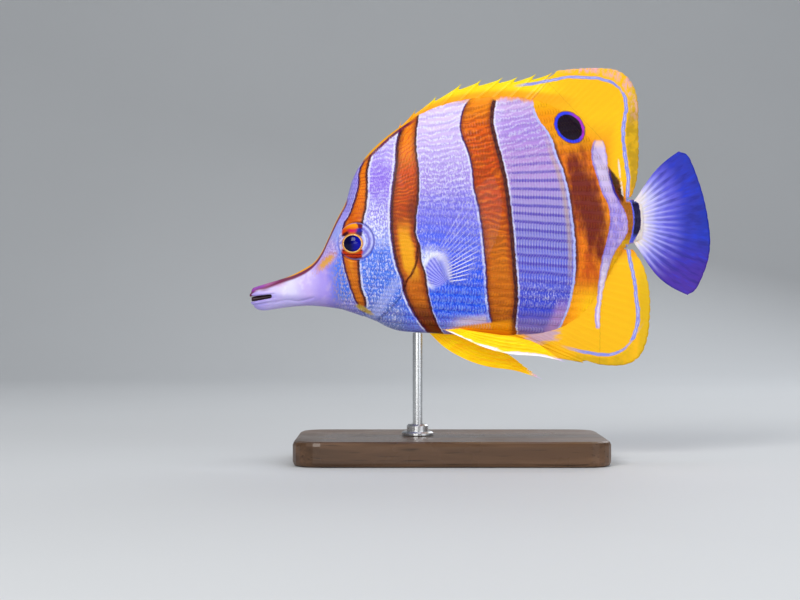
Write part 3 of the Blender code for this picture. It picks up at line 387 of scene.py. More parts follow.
# Nodes are made in the order in which they are worked out, each after those that it reads. The renderer has room for
# few values that wait, and shows a material black when too many do.
class Net:
    """Adds shader or geometry nodes to a tree in few words."""

    def words(self, names):
        """Its own methods of these names, for a function that uses them often."""
        return [getattr(self, name) for name in names.split()]

    def __init__(self, tree):
        self.tree = tree

    def node(self, kind, values=None, **settings):
        made = self.tree.nodes.new(kind)
        for key, value in settings.items():
            setattr(made, key, value)
        for key, value in (values or {}).items():
            self.put(value, made.inputs[key])
        return made

    def put(self, value, socket):
        if isinstance(value, bpy.types.NodeSocket):
            self.tree.links.new(value, socket)
        elif isinstance(value, tuple) and len(value) == 3 and socket.type == "RGBA":
            socket.default_value = (*value, 1.0)
        else:
            socket.default_value = value

    def math(self, operation, a, b=0.0, clamp=False):
        made = self.node("ShaderNodeMath", operation=operation, use_clamp=clamp)
        self.put(a, made.inputs[0])
        self.put(b, made.inputs[1])
        return made.outputs[0]

    def plus(self, a, b, clamp=False):
        return self.math("ADD", a, b, clamp)

    def minus(self, a, b):
        return self.math("SUBTRACT", a, b)

    def times(self, a, b):
        return self.math("MULTIPLY", a, b)

    def stray(self, value, mottle, size):
        """The value, moved to both sides by a mottling."""
        return self.plus(value, self.times(self.minus(mottle, 0.5), size))

    def smooth(self, value, low, high):
        made = self.node("ShaderNodeMapRange", interpolation_type="SMOOTHSTEP", clamp=True)
        for key, number in ((0, value), (1, low), (2, high), (3, 0.0), (4, 1.0)):
            self.put(number, made.inputs[key])
        return made.outputs[0]

    def mix(self, share, a, b, blend="MIX"):
        made = self.node("ShaderNodeMix", data_type="RGBA", blend_type=blend)
        self.put(share, made.inputs[0])
        self.put(a, made.inputs[6])
        self.put(b, made.inputs[7])
        return made.outputs[2]

    def lay(self, under, colour, *masks):
        """A colour laid over another where all masks are."""
        return self.mix(self.both(*masks), under, colour)

    def both(self, *masks):
        result = masks[0]
        for mask in masks[1:]:
            result = self.times(result, mask)
        return result

    def either(self, *masks):
        result = masks[0]
        for mask in masks[1:]:
            result = self.math("MAXIMUM", result, mask)
        return result

    def between(self, value, low, high, soft=0.3):
        return self.both(self.smooth(value, low - soft, low + soft), self.smooth(value, high + soft, high - soft))

    def ramp(self, value, low, high, stops):
        share = self.math("DIVIDE", self.minus(value, low), high - low)
        made = self.node("ShaderNodeValToRGB", {"Fac": share})
        made.color_ramp.interpolation = "EASE"
        elements = made.color_ramp.elements
        while len(elements) < len(stops):
            elements.new(0.5)
        for element, (place, colour) in zip(elements, stops):
            element.position = (place - low) / (high - low)
        for element, (place, colour) in zip(elements, stops):
            element.color = (*colour, 1.0)
        return made.outputs[0]

    def curve(self, value, points, along_z=True):
        """A marking's edge: x for a height, or the height for an x."""
        spans = (SPAN_Z, SPAN_X) if along_z else (SPAN_X, SPAN_Z)
        (low, high), (start, end) = spans
        share = self.math("DIVIDE", self.minus(value, low), high - low)
        made = self.node("ShaderNodeFloatCurve", {"Value": share})
        line = made.mapping.curves[0]
        pairs = sorted((p[1], p[0]) if along_z else (p[0], p[1]) for p in points)
        while len(line.points) < len(pairs):
            line.points.new(0.5, 0.5)
        for point, pair in zip(line.points, pairs):
            point.location = [(v - s[0]) / (s[1] - s[0]) for v, s in zip(pair, spans)]
        made.mapping.update()
        return self.plus(self.times(made.outputs[0], end - start), start)

    def oval(self, x, z, centre, radii):
        """Distance from an upright ellipse's centre, 1 on the ellipse."""
        dx = self.math("DIVIDE", self.minus(x, centre[0]), radii[0])
        dz = self.math("DIVIDE", self.minus(z, centre[1]), radii[1])
        return self.math("SQRT", self.plus(self.math("POWER", dx, 2.0), self.math("POWER", dz, 2.0)))

    def noise(self, vector, scale, detail=2.0, roughness=0.5):
        made = self.node("ShaderNodeTexNoise", {"Scale": scale, "Detail": detail, "Roughness": roughness})
        self.put(vector, made.inputs["Vector"])
        return made.outputs[0]

    def stretched(self, vector, sizes, turn=0.0):
        made = self.node("ShaderNodeMapping", {"Scale": sizes, "Rotation": (0.0, turn, 0.0)})
        self.put(vector, made.inputs["Vector"])
        return made.outputs[0]

    def bump(self, height, strength, distance):
        return self.node("ShaderNodeBump", {"Strength": strength, "Distance": distance, "Height": height}).outputs[0]

    def in_mm(self, place, axis):
        """One coordinate of a place, in millimetres."""
        return self.times(place.outputs[axis], 1 / MM)

    def fin_marks(self):
        """Where a point of a fin lies: on a ray, out towards the margin, and across the rays."""
        return [self.node("ShaderNodeAttribute", attribute_name=label).outputs["Fac"] for label in ("ray", "reach",
            "across")]


def new_group(name, inputs, outputs):
    """A shader node group with named sockets; returns its net and its two end nodes."""
    tree = bpy.data.node_groups.new(name, "ShaderNodeTree")
    for label, kind in inputs:
        tree.interface.new_socket(label, in_out="INPUT", socket_type=kind)
    for label, kind in outputs:
        tree.interface.new_socket(label, in_out="OUTPUT", socket_type=kind)
    net = Net(tree)
    return net, net.node("NodeGroupInput"), net.node("NodeGroupOutput")


def object_place(net):
    """The place on the object itself."""
    return net.node("ShaderNodeTexCoord").outputs["Object"]


def side_view_group():
    """Where a point lies in the side view, in millimetres, and its scale row and column."""
    net, start, end = new_group("Side view", [("Wobble", "NodeSocketFloat")],
        [(label, "NodeSocketFloat") for label in ("X", "Z", "Row", "Column", "Off middle")])
    place = object_place(net)
    split = net.node("ShaderNodeSeparateXYZ", {"Vector": place})
    x, z = net.in_mm(split, "X"), net.in_mm(split, "Z")
    rough = net.minus(net.noise(place, 560.0, 3.0, 0.75), 0.5)
    moved = net.plus(x, net.times(rough, start.outputs["Wobble"]))
    tilt = net.times(net.smooth(z, TILT_FROM, TILT_TO), ROW_TILT)
    lean = net.times(net.minus(tilt, ROW_DROP), net.minus(x, ROW_PIVOT))
    row = net.math("DIVIDE", net.minus(z, lean), ROW_PITCH)
    off = net.times(net.math("ABSOLUTE", split.outputs["Y"]), 1 / MM)
    column = net.math("DIVIDE", x, COLUMN_PITCH)
    for value, label in ((moved, "X"), (z, "Z"), (row, "Row"), (column, "Column"), (off, "Off middle")):
        net.put(value, end.inputs[label])
    return net.tree


# Shades of the flank from the belly up, as heights and colours: cheek, middle and rear. They are partly the pale
# flank's own tone and partly painted light: a bluish cast over it, and a pale sheen near the back from the light
# above.
CHEEK = [(42, (0.20, 0.26, 0.60)), (48, (0.14, 0.20, 0.60)), (55, (0.05, 0.17, 0.82)), (66, (0.07, 0.20, 0.88)),
    (72, (0.32, 0.38, 0.90)), (80, (0.34, 0.29, 0.86)), (90, (0.27, 0.14, 0.80)), (100, (0.46, 0.35, 0.88)), (108,
    (0.88, 0.86, 1.0))]
MIDDLE = [(41, (0.38, 0.30, 0.60)), (45, (0.24, 0.24, 0.74)), (49, (0.02, 0.09, 0.88)), (60, (0.02, 0.10, 0.92)),
    (70, (0.08, 0.13, 0.88)), (82, (0.18, 0.16, 0.82)), (92, (0.40, 0.28, 0.82)), (104, (0.62, 0.47, 0.88)), (116,
    (0.74, 0.60, 0.96))]
REAR = [(38, (0.52, 0.36, 0.42)), (43, (0.20, 0.15, 0.50)), (50, (0.03, 0.05, 0.64)), (60, (0.04, 0.07, 0.74)),
    (72, (0.14, 0.14, 0.64)), (84, (0.30, 0.21, 0.64)), (95, (0.48, 0.26, 0.68)), (106, (0.42, 0.25, 0.74)), (118,
    (0.62, 0.42, 0.78))]
SNOUT = [(-75, (0.50, 0.41, 0.88)), (-68, (0.64, 0.56, 0.95)), (-61, (0.72, 0.68, 0.96)), (-56, (0.58, 0.46, 0.90)),
    (-52, (0.42, 0.32, 0.86)), (-48, (0.33, 0.24, 0.80)), (-44, (0.14, 0.15, 0.74))]
BAND = [(41, (0.60, 0.20, 0.001)), (47, (0.40, 0.09, 0.001)), (55, (0.56, 0.13, 0.001)), (66, (0.64, 0.13, 0.001)),
    (76, (0.62, 0.09, 0.001)), (86, (0.66, 0.07, 0.001)), (97, (0.68, 0.072, 0.001)), (106,
    (0.76, 0.11, 0.001)), (116, (0.93, 0.27, 0.001))]


def grain(net, place):
    """Four kinds of mottling that the groups of markings share: cloudy, fine, streaked and patchy."""
    cloud = net.noise(place, 70.0, 3.0, 0.6)
    fine = net.noise(net.stretched(place, (1.5, 1.0, 0.85)), 1350.0, 2.0, 0.6)
    streak = net.noise(net.stretched(place, (0.5, 1.0, 2.2), 0.35), 420.0, 3.0, 0.6)
    patchy = net.smooth(net.noise(place, 330.0, 2.0, 0.6), 0.36, 0.56)
    return cloud, fine, streak, patchy


# What both groups of markings are given: where the place lies in the side view, and the four mottlings
SHARED = [(label, "NodeSocketFloat") for label in ("X", "Z", "Row", "Column", "Off middle", "Cloud", "Fine",
    "Streak", "Patchy")]


def flank_group():
    """Colours of the head and flank, up to the fourth line, at a place of the side view."""
    net, start, end = new_group("Flank markings",
        SHARED + [("Orange", "NodeSocketColor"), ("White", "NodeSocketColor"),
        ("Dark", "NodeSocketColor")], [("Color", "NodeSocketColor"), ("Banded", "NodeSocketFloat")])
    x, z, row, column, _, cloud, fine, streak, patchy = (start.outputs[label] for label, kind in SHARED)
    place = object_place(net)
    plus, minus, times, stray, smooth, mix, lay, both, either, between, ramp, curve, oval = net.words(
        "plus minus times stray smooth mix lay both either between ramp curve oval")
    orange, white, dark = (start.outputs[k] for k in ("Orange", "White", "Dark"))
    snout = smooth(plus(x, times(net.math("MAXIMUM", minus(z, 58.0), 0.0), 0.25)), -45.0, -50.5)

    # Blue, lavender and white of the flank
    shade_z = stray(z, cloud, 12.0)
    flank = mix(smooth(x, -27.0, -21.0), ramp(shade_z, 38, 120, CHEEK), ramp(shade_z, 38, 120, MIDDLE))
    flank = mix(smooth(x, 2.0, 9.0), flank, ramp(shade_z, 34, 122, REAR))
    flank = lay(flank, (0.28, 0.25, 0.76), smooth(x, -38.0, -42.0), smooth(z, 78.0, 84.0))
    face_x = stray(x, cloud, 6.0)
    flank = mix(snout, flank, ramp(face_x, -78, -40, SNOUT))
    blush = smooth(net.noise(place, 160.0, 3.0, 0.65), 0.44, 0.62)
    flank = mix(both(snout, blush, 0.45), flank, mix(smooth(x, -58.0, -50.0), (0.94, 0.90, 1.0), (0.66, 0.50, 0.80)))
    flush = both(smooth(oval(x, z, (-67.2, 57.6), (5.2, 1.9)), 1.1, 0.3), smooth(cloud, 0.3, 0.6), 0.65)
    flank = lay(flank, (0.48, 0.17, 0.42), flush)
    before_band = both(between(x, -48.0, -40.5, 2.0), between(z, 48.0, 66.0, 3.0), smooth(fine, 0.48, 0.58))
    flank = lay(flank, (0.34, 0.17, 0.16), before_band, 0.55)
    below = both(smooth(plus(times(x, 0.08), z), 49.6, 47.6), smooth(x, -36.0, -42.0))
    flank = lay(flank, (0.30, 0.24, 0.66), below, 0.6)
    flank = mix(both(smooth(oval(x, z, (-49.0, 68.0), (3.8, 6.0)), 1.1, 0.3), 0.85), flank,
        mix(smooth(fine, 0.42, 0.58), (0.40, 0.28, 0.70), (0.66, 0.50, 0.82)))
    leaning = minus(z, times(x, 0.75))
    ochre = stray(oval(x, leaning, (-50.2, 101.9), (4.4, 2.6)), fine, 1.2)
    flank = mix(both(smooth(ochre, 1.05, 0.30), 0.90), flank,
        mix(smooth(ochre, 0.75, 0.35), (0.62, 0.26, 0.22), (0.78, 0.37, 0.01)))
    bead = times(plus(net.math("COSINE", times(column, 2 * math.pi)), 1.0), 0.5)
    on_rows = net.math("PINGPONG", stray(row, cloud, 0.5), 0.5)
    on_rows = minus(on_rows, times(bead, 0.07))
    row_line = both(smooth(on_rows, 0.20, 0.38), smooth(x, -46.0, -42.0))
    rise = times(times(smooth(z, 78.0, 96.0), 0.32), plus(x, 5.0))
    slant = both(smooth(z, 82.0, 94.0), smooth(x, -16.0, -20.0), smooth(x, -31.0, -28.0), 0.50)
    rise = plus(rise, times(slant, plus(x, 24.0)))
    warp = times(minus(net.noise(place, 210.0, 2.0, 0.5), 0.5), 2.4)
    ripple = net.math("PINGPONG", plus(net.math("DIVIDE", minus(z, rise), 1.9), warp), 0.5)
    ruled = both(between(x, 9.0, 29.5, 2.0), between(z, 57.0, 98.0, 8.0))
    flank = lay(flank, (0.07, 0.03, 0.50), row_line, plus(times(ruled, 0.60), 0.22))
    pale_bead = both(minus(1.0, row_line), ruled, plus(times(bead, 0.42), 0.08))
    flank = lay(flank, (0.50, 0.46, 0.72), pale_bead)
    dotted = plus(times(bead, 0.5), 0.5)
    unruled = minus(1.0, times(ruled, 0.85))
    low_rear = minus(1.0, both(smooth(x, 8.0, 12.0), smooth(z, 54.0, 47.0)))
    speckle = both(smooth(fine, 0.50, 0.62), smooth(z, 104.0, 92.0), smooth(x, -50.0, -40.0), dotted, low_rear)
    fore = both(smooth(x, -36.0, -40.0), smooth(z, 74.0, 80.0))
    deep = both(smooth(z, 62.0, 53.0), smooth(x, -27.0, -23.0), smooth(x, 12.0, 6.0))
    calm = minus(1.0, either(times(fore, 0.85), times(deep, 0.72)))
    squiggle = both(smooth(ripple, 0.34, 0.04), smooth(z, 74.0, 92.0), smooth(fine, 0.38, 0.56))
    dots = minus(0.64, times(both(between(z, 58.0, 84.0, 8.0), smooth(x, -26.0, -16.0)), 0.32))
    flank = lay(flank, (0.03, 0.22, 0.96), smooth(fine, 0.44, 0.58), deep, 0.55)
    flank = lay(flank, (0.006, 0.03, 0.60), smooth(fine, 0.48, 0.36), deep, 0.50)
    flank = lay(flank, white, either(both(speckle, dots),
        both(squiggle, minus(0.74, times(smooth(x, 2.0, 9.0), 0.30)))), unruled, calm)
    sparkle = both(smooth(oval(x, z, (-33.6, 76.5), (4.6, 8.0)), 1.15, 0.4), smooth(fine, 0.47, 0.55), 0.6)
    flank = lay(flank, (0.92, 0.92, 1.0), sparkle)
    violet = both(smooth(oval(x, z, (-32.6, 91.5), (4.2, 10.0)), 1.1, 0.3), smooth(streak, 0.30, 0.6))
    flank = lay(flank, (0.24, 0.10, 0.80), violet, 0.75)
    frost = both(smooth(oval(x, z, (-16.8, 65.5), (3.6, 4.4)), 1.25, 0.3),
        plus(times(smooth(fine, 0.42, 0.58), 0.45), 0.5))
    flank = lay(flank, (0.90, 0.90, 1.0), frost)
    lobe = oval(x, z, (-14.6, 61.2), (4.3, 5.4))
    fan = net.math("ARCTAN2", minus(z, 55.6), minus(x, -9.6))
    crease = smooth(net.math("PINGPONG", times(fan, 9.0), 0.5), 0.08, 0.42)
    flank = mix(both(smooth(lobe, 1.02, 0.80), 0.9), flank, mix(crease, (0.16, 0.16, 0.82), (0.44, 0.44, 0.98)))
    # Painted highlight: a white arc along the upper front edge of the side fin's lobe, on the side that faces the key
    # light
    rim = both(between(lobe, 0.86, 1.12, 0.12), smooth(plus(x, times(z, -0.3)), -30.5, -34.5))
    flank = lay(flank, (0.90, 0.90, 1.0), rim, 0.85)
    membrane = line_value(net, x, z, (-25.9, 57.2), (-33.0, 46.8))
    flank = lay(flank, (0.40, 0.44, 0.86), between(membrane, -3.2, 0.0, 0.5), smooth(z, 60.0, 57.0),
        smooth(z, 45.0, 47.0), smooth(x, -38.0, -36.0), 0.55)

    # Bands with their dark borders and pale outlines
    tone = ramp(shade_z, 38, 122, BAND)
    tone = lay(tone, orange, smooth(streak, 0.42, 0.66), 0.5)
    tone = lay(tone, (0.25, 0.016, 0.001), smooth(ripple, 0.08, 0.36), between(z, 62.0, 114.0, 6.0),
        smooth(x, -38.0, -30.0), smooth(streak, 0.30, 0.52), 0.66)
    tone = lay(tone, (0.30, 0.035, 0.001), smooth(cloud, 0.56, 0.74), 0.5)
    edges = [(BAND_1_FRONT, BAND_1_REAR, 0.75, 0.80, 0.15, 0.60, 49.6, 104.5, 0.15, 0.35),
        (BAND_2_FRONT, BAND_2_REAR, 1.15, 0.75, 0.60, 0.30, 38.0, 130.0, 0.55, 0.85), (BAND_3_FRONT, BAND_3_REAR,
        0.65, 1.40, 0.65, 0.50, 38.0, 130.0, 0.50, 0.12)]
    upper = either(both(smooth(x, -33.0, -35.0), smooth(z, 74.0, 90.0)),
        both(smooth(x, -17.0, -20.0), smooth(z, 92.0, 101.0)))
    tone = lay(tone, (0.97, 0.26, 0.001), upper, smooth(ripple, 0.02, 0.22), 0.85)
    maroon = oval(x, z, (-22.3, 80.5), (2.2, 6.5))
    tone = lay(tone, (0.12, 0.006, 0.001), smooth(maroon, 1.2, 0.2), 0.75)
    second_foot = both(between(x, -27.0, -12.0, 3.0), smooth(z, 53.0, 46.5), 0.88)
    tone = lay(tone, (0.11, 0.016, 0.003), second_foot)
    colour, banded = flank, 0.0
    for front, back, dark_front, dark_back, white_front, white_back, low, high, shaded, glowing in edges:
        ahead = minus(x, curve(z, front))
        behind = minus(curve(z, back), x)
        within = between(z, low, high, 0.8)
        outline = either(between(ahead, -white_front, 0.1, 0.2), between(behind, -white_back, 0.1, 0.2))
        colour = lay(colour, white, outline, within, plus(times(patchy, 0.5), 0.25))
        inside = both(smooth(ahead, -0.16, 0.18), smooth(behind, -0.16, 0.18), within)
        near = net.math("MINIMUM", minus(ahead, dark_front), minus(behind, dark_back))
        glow = lay(tone, (1.0, 0.44, 0.001), smooth(near, 0.6, 2.2), between(z, 60.0, 75.0, 4.0), glowing)
        glow = lay(glow, (0.20, 0.014, 0.001), smooth(near, 1.5, 0.1), shaded)
        border = lay(dark, (0.05, 0.008, 0.20), smooth(ahead, 0.55, 0.15))
        low_band = smooth(z, 41.0, 46.0)
        painted = lay(glow, border, smooth(near, 0.35, -0.35), plus(times(low_band, 0.6), 0.4))
        colour = lay(colour, painted, inside)
        banded = either(inside, banded)
    smear = oval(x, plus(z, times(x, 0.5)), (-37.9, 30.0), (3.6, 1.25))
    smear = stray(smear, streak, 0.8)
    colour = lay(colour, (0.52, 0.34, 0.02), smooth(smear, 1.0, 0.55), 0.9)
    # Painted shade: a dark line along the gill opening, where shade falls in its slit
    gill = net.math("ABSOLUTE", minus(x, curve(z, GILL_EDGE)))
    colour = lay(colour, (0.10, 0.008, 0.004), smooth(gill, 0.62, 0.2), between(z, 55.6, 70.5, 0.8), 0.85)

    # The belly's edge, orange between the pelvic fins and the third band
    keel = minus(plus(times(x, 0.13), 44.4), z)
    on_keel = both(smooth(x, -12.5, -5.0), smooth(x, 11.0, 8.0))
    colour = lay(colour, (0.80, 0.60, 0.66), between(keel, -2.6, 0.2, 1.3), on_keel, smooth(x, 2.4, 1.2), 0.7)
    colour = lay(colour, (0.88, 0.30, 0.001), smooth(keel, -0.5, 0.5), on_keel)

    net.put(colour, end.inputs["Color"])
    net.put(banded, end.inputs["Banded"])
    return net.tree


def markings_group():
    """Colours of the rear body and the yellow fins, laid over those of the flank."""
    net, start, end = new_group(
        "Fish markings",
        SHARED +
        [("Flank", "NodeSocketColor"), ("Banded", "NodeSocketFloat"),
         ("Fin", "NodeSocketFloat"), ("Plate", "NodeSocketFloat"),
         ("Orange", "NodeSocketColor"), ("Yellow", "NodeSocketColor"), ("White", "NodeSocketColor"),
         ("Blue line", "NodeSocketColor"), ("Dark", "NodeSocketColor")],
        [("Color", "NodeSocketColor"), ("Glow", "NodeSocketColor"), ("Height", "NodeSocketFloat"),
         ("Gloss", "NodeSocketFloat")],
    )
    x, z, _, _, off_middle, cloud, fine, streak, patchy = (start.outputs[label] for label, kind in SHARED)
    place = object_place(net)
    plus, minus, times, stray, smooth, mix, lay, both, either, between, curve, oval, noise = net.words(
        "plus minus times stray smooth mix lay both either between curve oval noise")
    colour, banded, fin, plate = (start.outputs[k] for k in ("Flank", "Banded", "Fin", "Plate"))
    orange, yellow, white, blue, dark = (start.outputs[k] for k in ("Orange", "Yellow", "White", "Blue line", "Dark"))
    skin = smooth(fin, 0.6, 0.4)
    edge_4 = minus(curve(z, BAND_4_FRONT), x)

    # Amber and yellow behind the fourth line, with its dark core
    inside_4 = inside_of(net, edge_4, 0.16)
    gold = either(smooth(z, 96.0, 113.0), smooth(z, 61.0, 47.0),
        both(smooth(x, 38.0, 45.0), either(smooth(z, 84.0, 92.0), smooth(z, 70.0, 64.0))))
    blotch = noise(net.stretched(place, (1.6, 1.0, 0.6)), 260.0, 3.0, 0.6)
    rear = mix(smooth(blotch, 0.34, 0.66), (0.60, 0.085, 0.001), (0.90, 0.21, 0.001))
    rear = lay(rear, (0.95, 0.36, 0.001), smooth(x, 35.0, 44.0), 0.6)
    rear = lay(rear, yellow, gold)
    rear = mix(both(smooth(z, 58.0, 46.0), skin), rear,
        mix(smooth(edge_4, -2.0, -6.5), (1.0, 0.41, 0.001), (1.0, 0.57, 0.001)))
    warm = both(smooth(z, 119.0, 110.0), smooth(x, 36.0, 22.0))
    rear = lay(rear, (0.90, 0.24, 0.001), warm, 0.85, gold)
    leaning = plus(x, times(minus(z, 82.0), 0.26))
    core = net.math("POWER", oval(leaning, z, (34.6, 82.0), (4.8, 18.5)), 2.0)
    core = stray(core, blotch, 2.0)
    rear = lay(rear, (0.14, 0.002, 0.001), smooth(core, 1.7, 0.3), smooth(z, 58.0, 66.0), 0.94)
    rear = lay(rear, dark, smooth(edge_4, -1.3, -0.2), between(z, 58.0, 104.0, 5.0), 0.9)
    tint = both(between(edge_4, 1.1, 2.5, 0.6), between(z, 60.0, 102.0, 8.0), skin, 0.45)
    colour = lay(colour, (0.62, 0.42, 0.16), tint)
    rosy = both(between(edge_4, 0.0, 4.5, 1.5), between(z, 41.0, 51.0, 3.0), skin, 0.6)
    colour = lay(colour, (0.58, 0.30, 0.62), rosy)
    pale = both(between(edge_4, 0.0, 0.75, 0.22), between(z, 42.0, 114.0, 2.0), skin, 0.9)
    colour = lay(colour, (0.52, 0.56, 0.98), pale)
    colour = lay(colour, rear, inside_4)
    banded = either(inside_4, banded)

    # Top of the back, and the thin line down the forehead
    up = minus(z, curve(x, BACK_LINE, False))
    ragged = stray(up, blotch, 4.0)
    colour = lay(colour, (0.93, 0.33, 0.001), smooth(ragged, -2.4, -0.4), smooth(x, -12.0, 2.0), skin)
    nape = minus(curve(x, BROW_LINE, along_z=False), z)
    on_brow = both(smooth(x, -20.0, -24.0), smooth(nape, 4.5, 3.0), skin)
    on_brow = both(on_brow, minus(1.0, between(z, 84.0, 97.5, 1.5)))
    line_half = plus(times(between(x, -60.0, -30.0, 5.0), 0.7), 0.9)
    beyond = minus(off_middle, line_half)
    colour = lay(colour, (0.16, 0.004, 0.045), smooth(beyond, 1.45, 0.95), on_brow, 0.95)
    colour = lay(colour, (0.98, 0.44, 0.001), smooth(beyond, 0.3, -0.1), on_brow, smooth(x, -65.0, -60.0))
    tip = both(smooth(plus(off_middle, times(x, 0.06)), -2.1, -3.1), smooth(x, -64.0, -69.0), smooth(z, 54.2, 55.2))
    colour = mix(both(tip, 0.8), colour, mix(smooth(cloud, 0.4, 0.6), (0.50, 0.16, 0.42), (0.34, 0.08, 0.56)))

    # Yellow of the fins: orange at the back's foot, lemon at the spines' tips
    spread = times(minus(cloud, 0.5), 0.6)
    plain = lay(yellow, (0.98, 0.44, 0.001), plus(spread, 0.25, clamp=True))
    plain = lay(plain, (0.98, 0.76, 0.001), smooth(up, 0.4, 2.6), smooth(x, 30.0, 14.0))
    plain = lay(plain, (0.96, 0.40, 0.001), smooth(up, 1.9, 0.0), smooth(up, -4.0, -1.0), smooth(x, 34.0, 24.0), 0.9)
    edge_yellow = either(both(smooth(x, 47.5, 49.5), smooth(z, 84.0, 86.0)),
        both(smooth(x, 50.5, 52.5), smooth(z, 69.0, 66.0)))
    plain = lay(plain, (0.74, 0.46, 0.001), edge_yellow, 0.8)
    colour = lay(colour, plain, fin, minus(1.0, both(inside_4, between(z, 62.0, 114.0, 5.0))))
    olive = both(smooth(minus(x, curve(z, DORSAL_LINE_REAR)), 0.4, 1.3), between(z, 86.0, 116.0, 4.0), fin)
    colour = lay(colour, (0.44, 0.26, 0.003), olive, plus(times(patchy, 0.35), 0.5))
    foot_olive = both(smooth(minus(z, curve(x, ANAL_LINE_FOOT, False)), -0.4, -1.6), between(x, 30.0, 48.0, 3.0), fin)
    colour = lay(colour, (0.60, 0.38, 0.003), foot_olive, plus(times(patchy, 0.3), 0.4))
    foot = both(between(x, 6.0, 22.0, 4.0), smooth(z, 42.0, 38.0), fin)
    colour = lay(colour, (0.62, 0.35, 0.01), foot, 0.5)
    foot = stray(oval(x, z, (19.5, 41.0), (7.5, 3.8)), streak, 1.0)
    colour = lay(colour, (0.50, 0.36, 0.62), fin, smooth(foot, 1.0, 0.5), 0.8)

    # The pale stripe before the tail, the dark sliver and the brown root behind it
    before = minus(x, curve(z, STRIPE_FRONT))
    after = minus(curve(z, STRIPE_REAR), x)
    tall = between(z, 42.8, 103.8, 0.5)
    wedge = plus(after, times(both(smooth(z, 96.5, 90.5), smooth(z, 82.5, 85.0)), 3.1))
    behind_dark = both(smooth(after, 0.1, -0.3), smooth(wedge, -0.5, 0.5), smooth(x, 46.9, 46.1), 0.96)
    colour = mix(behind_dark, colour, mix(patchy, (0.12, 0.008, 0.002), (0.02, 0.001, 0.001)))
    colour = lay(colour, (0.02, 0.02, 0.40), between(after, -0.6, 0.1, 0.25), between(z, 82.0, 93.5, 2.0))
    brown = both(smooth(after, 0.2, -0.2), between(z, 69.5, 84.0, 1.0), skin)
    colour = mix(brown, colour, mix(smooth(z, 74.0, 69.0), (0.40, 0.12, 0.004), (0.92, 0.52, 0.002)))
    stripe = both(smooth(before, -0.16, 0.2), smooth(after, -0.16, 0.2), tall)
    lilac = mix(smooth(blotch, 0.36, 0.62), (0.32, 0.24, 0.76), (0.58, 0.44, 0.82))
    lilac = lay(lilac, (0.84, 0.73, 0.92), either(smooth(z, 70.0, 58.0), both(smooth(z, 84.0, 94.0), 0.55)))
    lilac = lay(lilac, (0.90, 0.62, 0.56), smooth(z, 100.5, 103.5))
    lilac = lay(lilac, (0.16, 0.10, 0.66), smooth(before, 1.0, 0.2), 0.65)
    lilac = lay(lilac, (0.22, 0.16, 0.76), smooth(after, 0.6, 0.1), 0.55)
    colour = lay(colour, lilac, stripe)

    # Ringed spot on the soft dorsal fin
    turn = math.radians(-40)
    dx, dz = minus(x, 28.7), minus(z, 108.0)
    spot_x = plus(times(dx, math.cos(turn)), times(dz, -math.sin(turn)))
    spot_z = plus(times(dx, math.sin(turn)), times(dz, math.cos(turn)))
    spot = oval(spot_x, spot_z, (0.0, 0.0), (4.5, 5.6))
    ring = mix(smooth(plus(x, times(z, 0.35)), 67.5, 70.5), (0.03, 0.05, 0.90), (0.42, 0.03, 0.62))
    colour = mix(smooth(spot, 1.10, 0.99), colour, mix(smooth(spot, 1.04, 0.97), dark, ring))
    colour = lay(colour, (0.008, 0.001, 0.010), smooth(spot, 0.87, 0.79))

    # Crescent spot on the tail's root
    crescent = minus(z, 78.0)
    bow = times(net.math("POWER", crescent, 2.0), 0.034)
    spot_front = minus(x, minus(49.75, times(bow, 0.65)))
    spot_back = minus(minus(52.0, times(bow, 0.75)), x)
    spot_back = minus(spot_back, times(smooth(z, 75.5, 71.5), 0.9))
    rooted = between(z, 70.4, 84.8, 0.6)
    colour = lay(colour, (0.80, 0.70, 0.66), smooth(spot_back, 0.15, -0.15), rooted, skin)
    colour = lay(colour, (0.10, 0.13, 0.85), smooth(spot_front, -0.5, -0.2), smooth(spot_back, -0.1, 0.2), rooted)
    colour = lay(colour, (0.006, 0.003, 0.05), smooth(spot_front, -0.1, 0.25), smooth(spot_back, -0.1, 0.2),
        between(z, 72.6, 84.4, 1.2))

    # Pale blue lines inside the fins' margins, and the pinkish streaks outside them
    rear_line = minus(x, curve(z, DORSAL_LINE_REAR))
    top_line = minus(z, curve(x, DORSAL_LINE_TOP, False))
    foot_line = minus(z, curve(x, ANAL_LINE_FOOT, False))
    lines = [(rear_line, between(z, 84.0, 119.6, 0.4), 0.55), (top_line, between(x, 13.0, 46.2, 3.0), 0.40),
        (minus(x, curve(z, ANAL_LINE_REAR)), between(z, 38.8, 70.0, 0.4), 0.55), (foot_line,
        between(x, 30.0, 49.1, 5.0), 0.45)]
    waver = times(minus(noise(place, 260.0, 1.0), 0.5), 0.9)
    for offset, along, width in lines:
        off = net.math("ABSOLUTE", plus(offset, waver))
        colour = lay(colour, blue, smooth(off, width + 0.25, width - 0.15), along)
        colour = lay(colour, white, smooth(off, width * 0.5, 0.0), along, patchy, 0.6)
    outer = both(smooth(top_line, 0.8, 2.2), between(x, 27.0, 50.0, 3.0))
    outer_rear = both(smooth(rear_line, 0.8, 2.4), between(z, 112.0, 126.0, 4.0), 0.7)
    streaky = noise(net.stretched(place, (1.2, 1.0, 0.6), -0.6), 620.0, 3.0, 0.7)
    colour = lay(colour, (0.80, 0.40, 0.56), either(outer, outer_rear), fin, smooth(streaky, 0.40, 0.66), 0.85)
    inner = both(smooth(net.math("ABSOLUTE", minus(plus(x, times(z, 0.115)), 56.0)), 0.42, 0.16),
        between(z, 85.5, 97.7, 0.5), fin, patchy, 0.75)
    colour = lay(colour, (0.86, 0.80, 0.80), inner)
